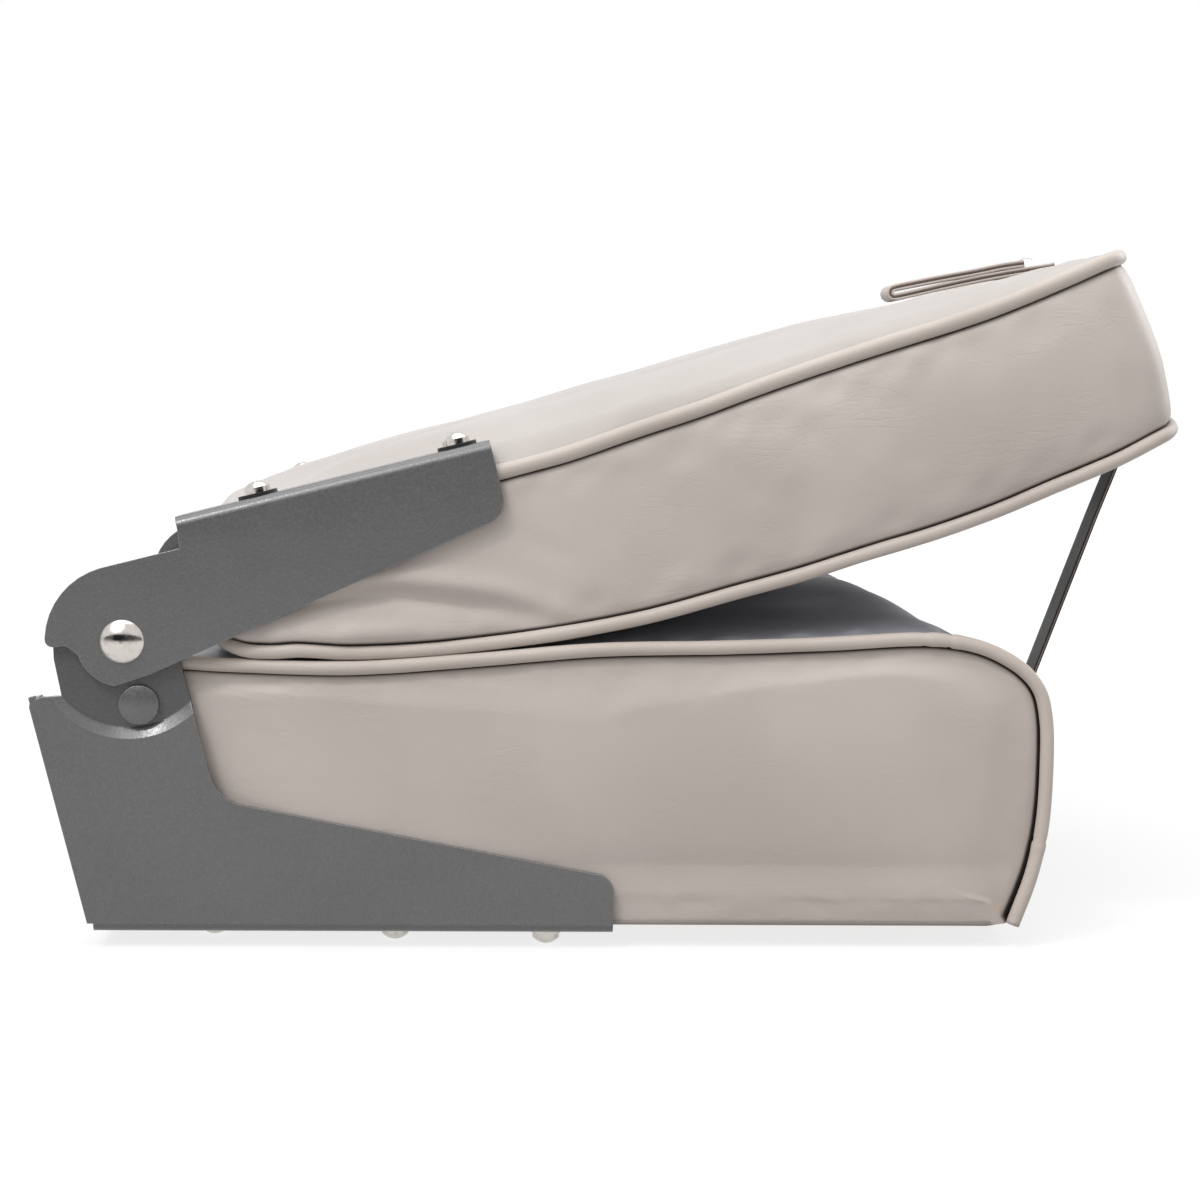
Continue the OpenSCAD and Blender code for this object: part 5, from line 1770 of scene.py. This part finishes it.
@dataclass
class Straps:
    """The tie-down strap with its tail, and the folded pull tab, in millimetres.

    Attributes:
        back: Backrest that they hang on.
        root: X and Z of the strap's lower end, under the seat's front edge.
        face_u: Where the strap meets the backrest's top end, between the two heights end_v.
        tab_span: Shares of the backrest's length: the tab's fold, its snap and its sewn end.
        seated: Share of the crown at which the tab sits on the back panel.
        fold_r: Radius of the tab's fold.
        lift: How far the fold stands off the panel.
        sag: How far the sewn end sinks into it.
    """

    back: Backrest
    strap: LayeredStrap = LayeredStrap(20.0, 2.0)
    tab: LayeredStrap = LayeredStrap(20.0, 3.9, core=0.26)
    root: tuple[float, float] = (212.456, -2.0)
    face_u: float = 523.7
    end_v: tuple[float, float] = (-27.0, 20.0)
    tab_span: tuple[float, float, float] = (0.776, 0.9, 0.958)
    seated: float = 0.78
    fold_r: float = 2.4
    lift: float = 1.6
    sag: float = 2.4

    def strap_path(self) -> Array:
        """From the seat's front bottom edge up to the backrest's top end, with a soft bow.

        Returns:
            Points in X and Z.
        """
        turn, end = (self.back.world(np.array([self.face_u, 0.0, v]))[[0, 2]] for v in self.end_v)
        start = np.array(self.root)
        ahead = (turn - start) / np.linalg.norm(turn - start)
        on = (end - turn) / np.linalg.norm(end - turn)
        bow = [turn - ahead * 60, turn - ahead * 16, turn - ahead * 4 + on * 4, turn + on * 16]
        return smooth_path(np.array([start, start + ahead * 60, *bow, end]), 90)

    def tab_path(self) -> Array:
        """Along the back panel, round the fold and back over itself.

        Returns:
            Points in X and Z.
        """
        back = self.back
        u0, join, u1 = (back.start + back.length * s for s in self.tab_span)
        um = (u0 + u1) / 2
        seat = back.outline_v(Face.BACK, um) - SEWING.pipe_proud + self.seated * back.crown_v(um)
        low = seat + 0.9 + self.tab.thick / 2
        top = low + self.tab.thick + 0.3
        turn = np.radians(np.linspace(-90, -270, 9))
        middle = [u0, low + self.lift + self.fold_r]
        arc = middle + self.fold_r * np.stack([np.cos(turn), np.sin(turn)], -1)
        under = [[u1, low - self.sag], [um + 12, low], [um - 10, low + 0.9]]
        over = [[join - 14, top + 0.2], [join, top - 0.3], [join + 12, top - 1.4]]
        over = [[u0 + 20, low + self.lift + 4.2], *over]
        return back.world(upright(smooth_path(np.vstack([under, arc, over]), 110)))[:, [0, 2]]

    def build(self, finisher: Finisher) -> None:
        """Args:
            finisher: Hands out the finishes.
        """
        low, high = (corner[0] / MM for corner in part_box("strap_anchor_tail"))
        tail = np.linspace([high, self.root[1]], [low, self.root[1]], 12)
        black = (self.strap, "strap_vinyl", "strap_core")
        grey = (self.tab, "grey_vinyl", "tab_core")
        for name, (kind, finish, core_finish), path, body, node in (
            ("tie_strap", black, self.strap_path(), "strap", "tie_down_strap"),
            ("strap_tail", black, tail, "seat", "strap_anchor_tail"),
            ("folded_tab", grey, self.tab_path(), "backrest", "pull_tab"),
        ):
            faces, core = kind.layers(name, path)
            finisher.declare(faces, finish, body, (node,))
            finisher.declare(core, core_finish, body)


@dataclass
class Hem:
    """The covers' edge turned under the board and stapled, with pleats at its corners.

    Attributes:
        seat: Seat that it belongs to.
        width: Width in millimetres.
        corner: Radius of its corners in plan.
        radius: Radius at which it rolls round the edge.
        pleat: Height of its pleats.
        wave: How far its cut edge wanders.
        seed: Which way it wanders.
    """

    seat: SeatCushion
    width: float = 26.0
    corner: float = 12.0
    radius: float = 2.2
    pleat: float = 0.35
    wave: float = 0.8
    seed: int = 91

    def outline(self) -> Array:
        """Plan of the seat's bottom edge as an even closed loop.

        Returns:
            Points in X and Y.
        """
        seat = self.seat
        front = seat.line[-1, 0] - 2.0
        rear = seat.rear_x + 2.0
        x = np.linspace(rear + self.corner, front - self.corner, 60)
        half = seat.half_width(x) + 1.0
        s = np.linspace(-1, 1, 40)
        x_front = front + seat.crowns[-1] * (1 - np.abs(s) ** seat.crown_power)
        side = np.stack([x, -half], -1)
        front_edge = np.stack([x_front, s * (half[-1] - self.corner)], -1)
        y_rear = np.linspace(half[0] - self.corner, self.corner - half[0], 24)
        rear_edge = np.stack([np.full(24, rear), y_rear], -1)
        return smooth_path(np.vstack([side, front_edge, (side * [1, -1])[::-1], rear_edge]), 420, closed=True)

    def build(self, finisher: Finisher) -> None:
        """Make the hem: it rolls round the edge at a small radius and lies flat to its cut edge.

        Args:
            finisher: Hands out the finishes.
        """
        ring = self.outline()
        normals = -left_normals(ring, closed=True)
        roll = np.radians(np.linspace(0, 90, 8))
        flat = np.append(np.linspace(self.radius, self.width, 16)[1:], self.width + 0.2)
        inset = np.append(self.radius * (1 - np.cos(roll)), flat)
        height = np.concatenate([self.radius * (1 - np.sin(roll)), np.zeros(15), [0.6]])
        turn = np.arctan2(ring[:, 1], ring[:, 0])
        corner = blend(np.abs(normals[:, 0] * normals[:, 1]), 0.08, 0.4)
        pleat = self.pleat * corner * np.abs(np.sin(turn * 60)) * blend(inset, 2, 8)[:, None]
        z = self.seat.floor_z + 0.15 + height[:, None] + pleat
        wave = ripple(np.column_stack([ring, 0 * turn]), 22.0, self.seed)
        inwards = inset[:, None] + self.wave * wave * blend(inset, 12, 26)[:, None]
        grid = np.concatenate([ring - normals * inwards[..., None], z[..., None]], -1)
        down = np.array([0.0, 0.0, -1.0])
        piece = make_piece("seat_hem_band", grid, down, loop=True, seam=np.zeros(z.shape))
        finisher.declare(piece, "hem_vinyl", "seat", ("seat_hem",))


# Hardware

KEPT_NODES = {
    "lower_bracket": "bracket_paint",
    "hinge_arm": "bracket_paint",
    "stop_rivet": "bracket_paint",
    "pivot_rivet": "rivet_chrome",
    "seat_bracket_screws": "steel",
    "seat_bracket_washers": "steel",
    "backrest_screws": "rivet_chrome",
    "backrest_washers": "black_washer",
    "backrest_inserts": "steel",
    "seat_mount_tee_nuts": "steel",
    "seat_bracket_tee_nuts": "steel",
    "seat_staples": "steel",
    "strap_anchor_screw": "steel",
    "strap_press_stud": "steel",
    "strap_snap_cap": "rivet_chrome",
    "pull_tab_snap": "rivet_chrome",
    "pivot_washers": "nylon",
    "seat_base_board": "plywood",
    "backrest_board": "plywood",
}


@dataclass
class Hardware:
    """The CAD nodes that stay: plates, rivets, screws, washers, boards and nuts.

    Attributes:
        crease: Angle in degrees from which an edge stays sharp.
        weld_mm: Distance up to which vertices are merged.
    """

    crease: float = 28.0
    weld_mm: float = 0.001

    def smooth(self, piece: Piece) -> None:
        """Shade a piece smoothly, but for its edges that are sharper than the crease angle.

        Args:
            piece: A CAD node.
        """
        piece.data.polygons.foreach_set("use_smooth", np.ones(len(piece.data.polygons), bool))
        piece.modifiers.new("Weld", "WELD").merge_threshold = self.weld_mm * MM
        piece.modifiers.new("Edges", "EDGE_SPLIT").split_angle = math.radians(self.crease)

    def build(self, finisher: Finisher) -> None:
        """Dress each node that is still shown.

        Args:
            finisher: Hands out the finishes.
        """
        for name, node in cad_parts.items():
            for start, finish in KEPT_NODES.items():
                if name.startswith(start):
                    finisher.put(node, finish)
                    self.smooth(node)
                    LOG.info("%s: %s", name, finish)
                    break


# Studio


@dataclass
class Studio:
    """Pale floor, soft lamps, white surroundings and the camera.

    Attributes:
        place_mm: Place of the camera.
        ahead: Direction in which it looks.
        up: Direction of its upper side.
        lens: Focal length for a sensor 36 mm wide.
        floor_size: Size of the floor in metres.
        sky: Level of light from the surroundings.
        lamps: For each its direction, its strength and its width in degrees.
    """

    place_mm: tuple[float, float, float] = (-79.61, -1315.0, 232.08)
    ahead: tuple[float, float, float] = (0.06955, 0.99470, -0.07579)
    up: tuple[float, float, float] = (-0.01286, 0.07686, 0.99696)
    lens: float = 73.77
    floor_size: float = 14.0
    sky: float = 0.5
    lamps: tuple = (
        ((-0.45, -0.6, 1.0), 1.35, 45.0),
        ((-0.5, -0.55, 1.0), 0.7, 9.0),
        ((0.1, 0.2, 1.0), 1.3, 60.0),
        ((0.75, 0.62, 0.3), 0.6, 35.0),
        ((-0.25, -1.0, 0.03), 0.26, 50.0),
    )

    def camera(self) -> None:
        """Camera at the photograph's place, with its lens."""
        data = bpy.data.cameras.new("Camera")
        data.sensor_width = 36.0
        data.lens = self.lens
        data.clip_start, data.clip_end = 0.05, 60.0
        camera = bpy.data.objects.new("Camera", data)
        back = -Vector(self.ahead).normalized()
        right = Vector(self.up).cross(back).normalized()
        turn = Matrix([right, back.cross(right), back]).transposed()
        camera.matrix_world = Matrix.Translation(Vector(self.place_mm) * MM) @ turn.to_4x4()
        bpy.context.scene.collection.objects.link(camera)
        bpy.context.scene.camera = camera

    def floor(self, low_z: float) -> None:
        """A wide matt floor under the lowest screw heads.

        Args:
            low_z: Its height in metres.
        """
        span = np.linspace(-self.floor_size, self.floor_size, 9) / MM / 2
        x, y = np.meshgrid(span, span, indexing="ij")
        up = np.array([0.0, 0.0, 1.0])
        piece = make_piece("floor", np.stack([x, y, np.full_like(x, low_z / MM)], -1), up)
        piece.data.materials.append(FINISHES["floor_paper"].material())
        piece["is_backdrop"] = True

    def surroundings(self) -> None:
        """White for the camera and for reflections, a plain level for everything else."""
        world = bpy.data.worlds.new("studio")
        world.use_nodes = True
        tree = world.node_tree
        tree.nodes.clear()
        white = linear("#ffffff")
        levels = [add_node(tree, "Background", (white, strength)) for strength in (self.sky, 1.0)]
        both = add_node(tree, "MixShader", (seen_directly(tree), *levels))
        add_node(tree, "OutputWorld", {"Surface": both})
        bpy.context.scene.world = world

    def lights(self) -> None:
        """Broad soft suns, so that the whole floor gets the same light."""
        for number, (way, strength, spread_deg) in enumerate(self.lamps):
            data = bpy.data.lights.new(f"lamp_{number}", "SUN")
            data.energy = strength
            data.angle = math.radians(spread_deg)
            lamp = bpy.data.objects.new(f"lamp_{number}", data)
            lamp.rotation_mode = "QUATERNION"
            lamp.rotation_quaternion = Vector(way).to_track_quat("Z", "Y")
            bpy.context.scene.collection.objects.link(lamp)

    def dark_card(self) -> None:
        """Dark wall behind the camera, seen only in reflections, which gives metal its dark band."""
        x, z = np.meshgrid(np.linspace(-12000, 12000, 3), np.linspace(30, 1500, 3), indexing="ij")
        ahead = np.array([0.0, 1.0, 0.0])
        card = make_piece("dark_card", np.stack([x, np.full_like(x, -3000.0), z], -1), ahead)
        card.data.materials.append(FINISHES["dark_card"].material())
        card.visible_camera = False
        card.visible_diffuse = False
        card.visible_shadow = False
        card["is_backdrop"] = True

    def build(self, low_z: float) -> None:
        """Set up the camera, the light and the floor.

        Args:
            low_z: Height of the floor in metres.
        """
        self.camera()
        self.floor(low_z)
        self.surroundings()
        self.lights()
        self.dark_card()
        bpy.context.scene.view_settings.view_transform = "Standard"


def main() -> None:
    """Build the studio, the cushions, the straps, the hem and the hardware, in that order."""
    logging.basicConfig(level=logging.INFO, format="%(name)s: %(message)s")
    cad_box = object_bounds()
    finisher = Finisher()
    Studio().build(cad_box[0].z)
    seat = SeatCushion()
    back = Backrest()
    for part in (seat, back, Straps(back), Hem(seat), Hardware()):
        part.build(finisher)


if __name__ == "__main__":
    main()
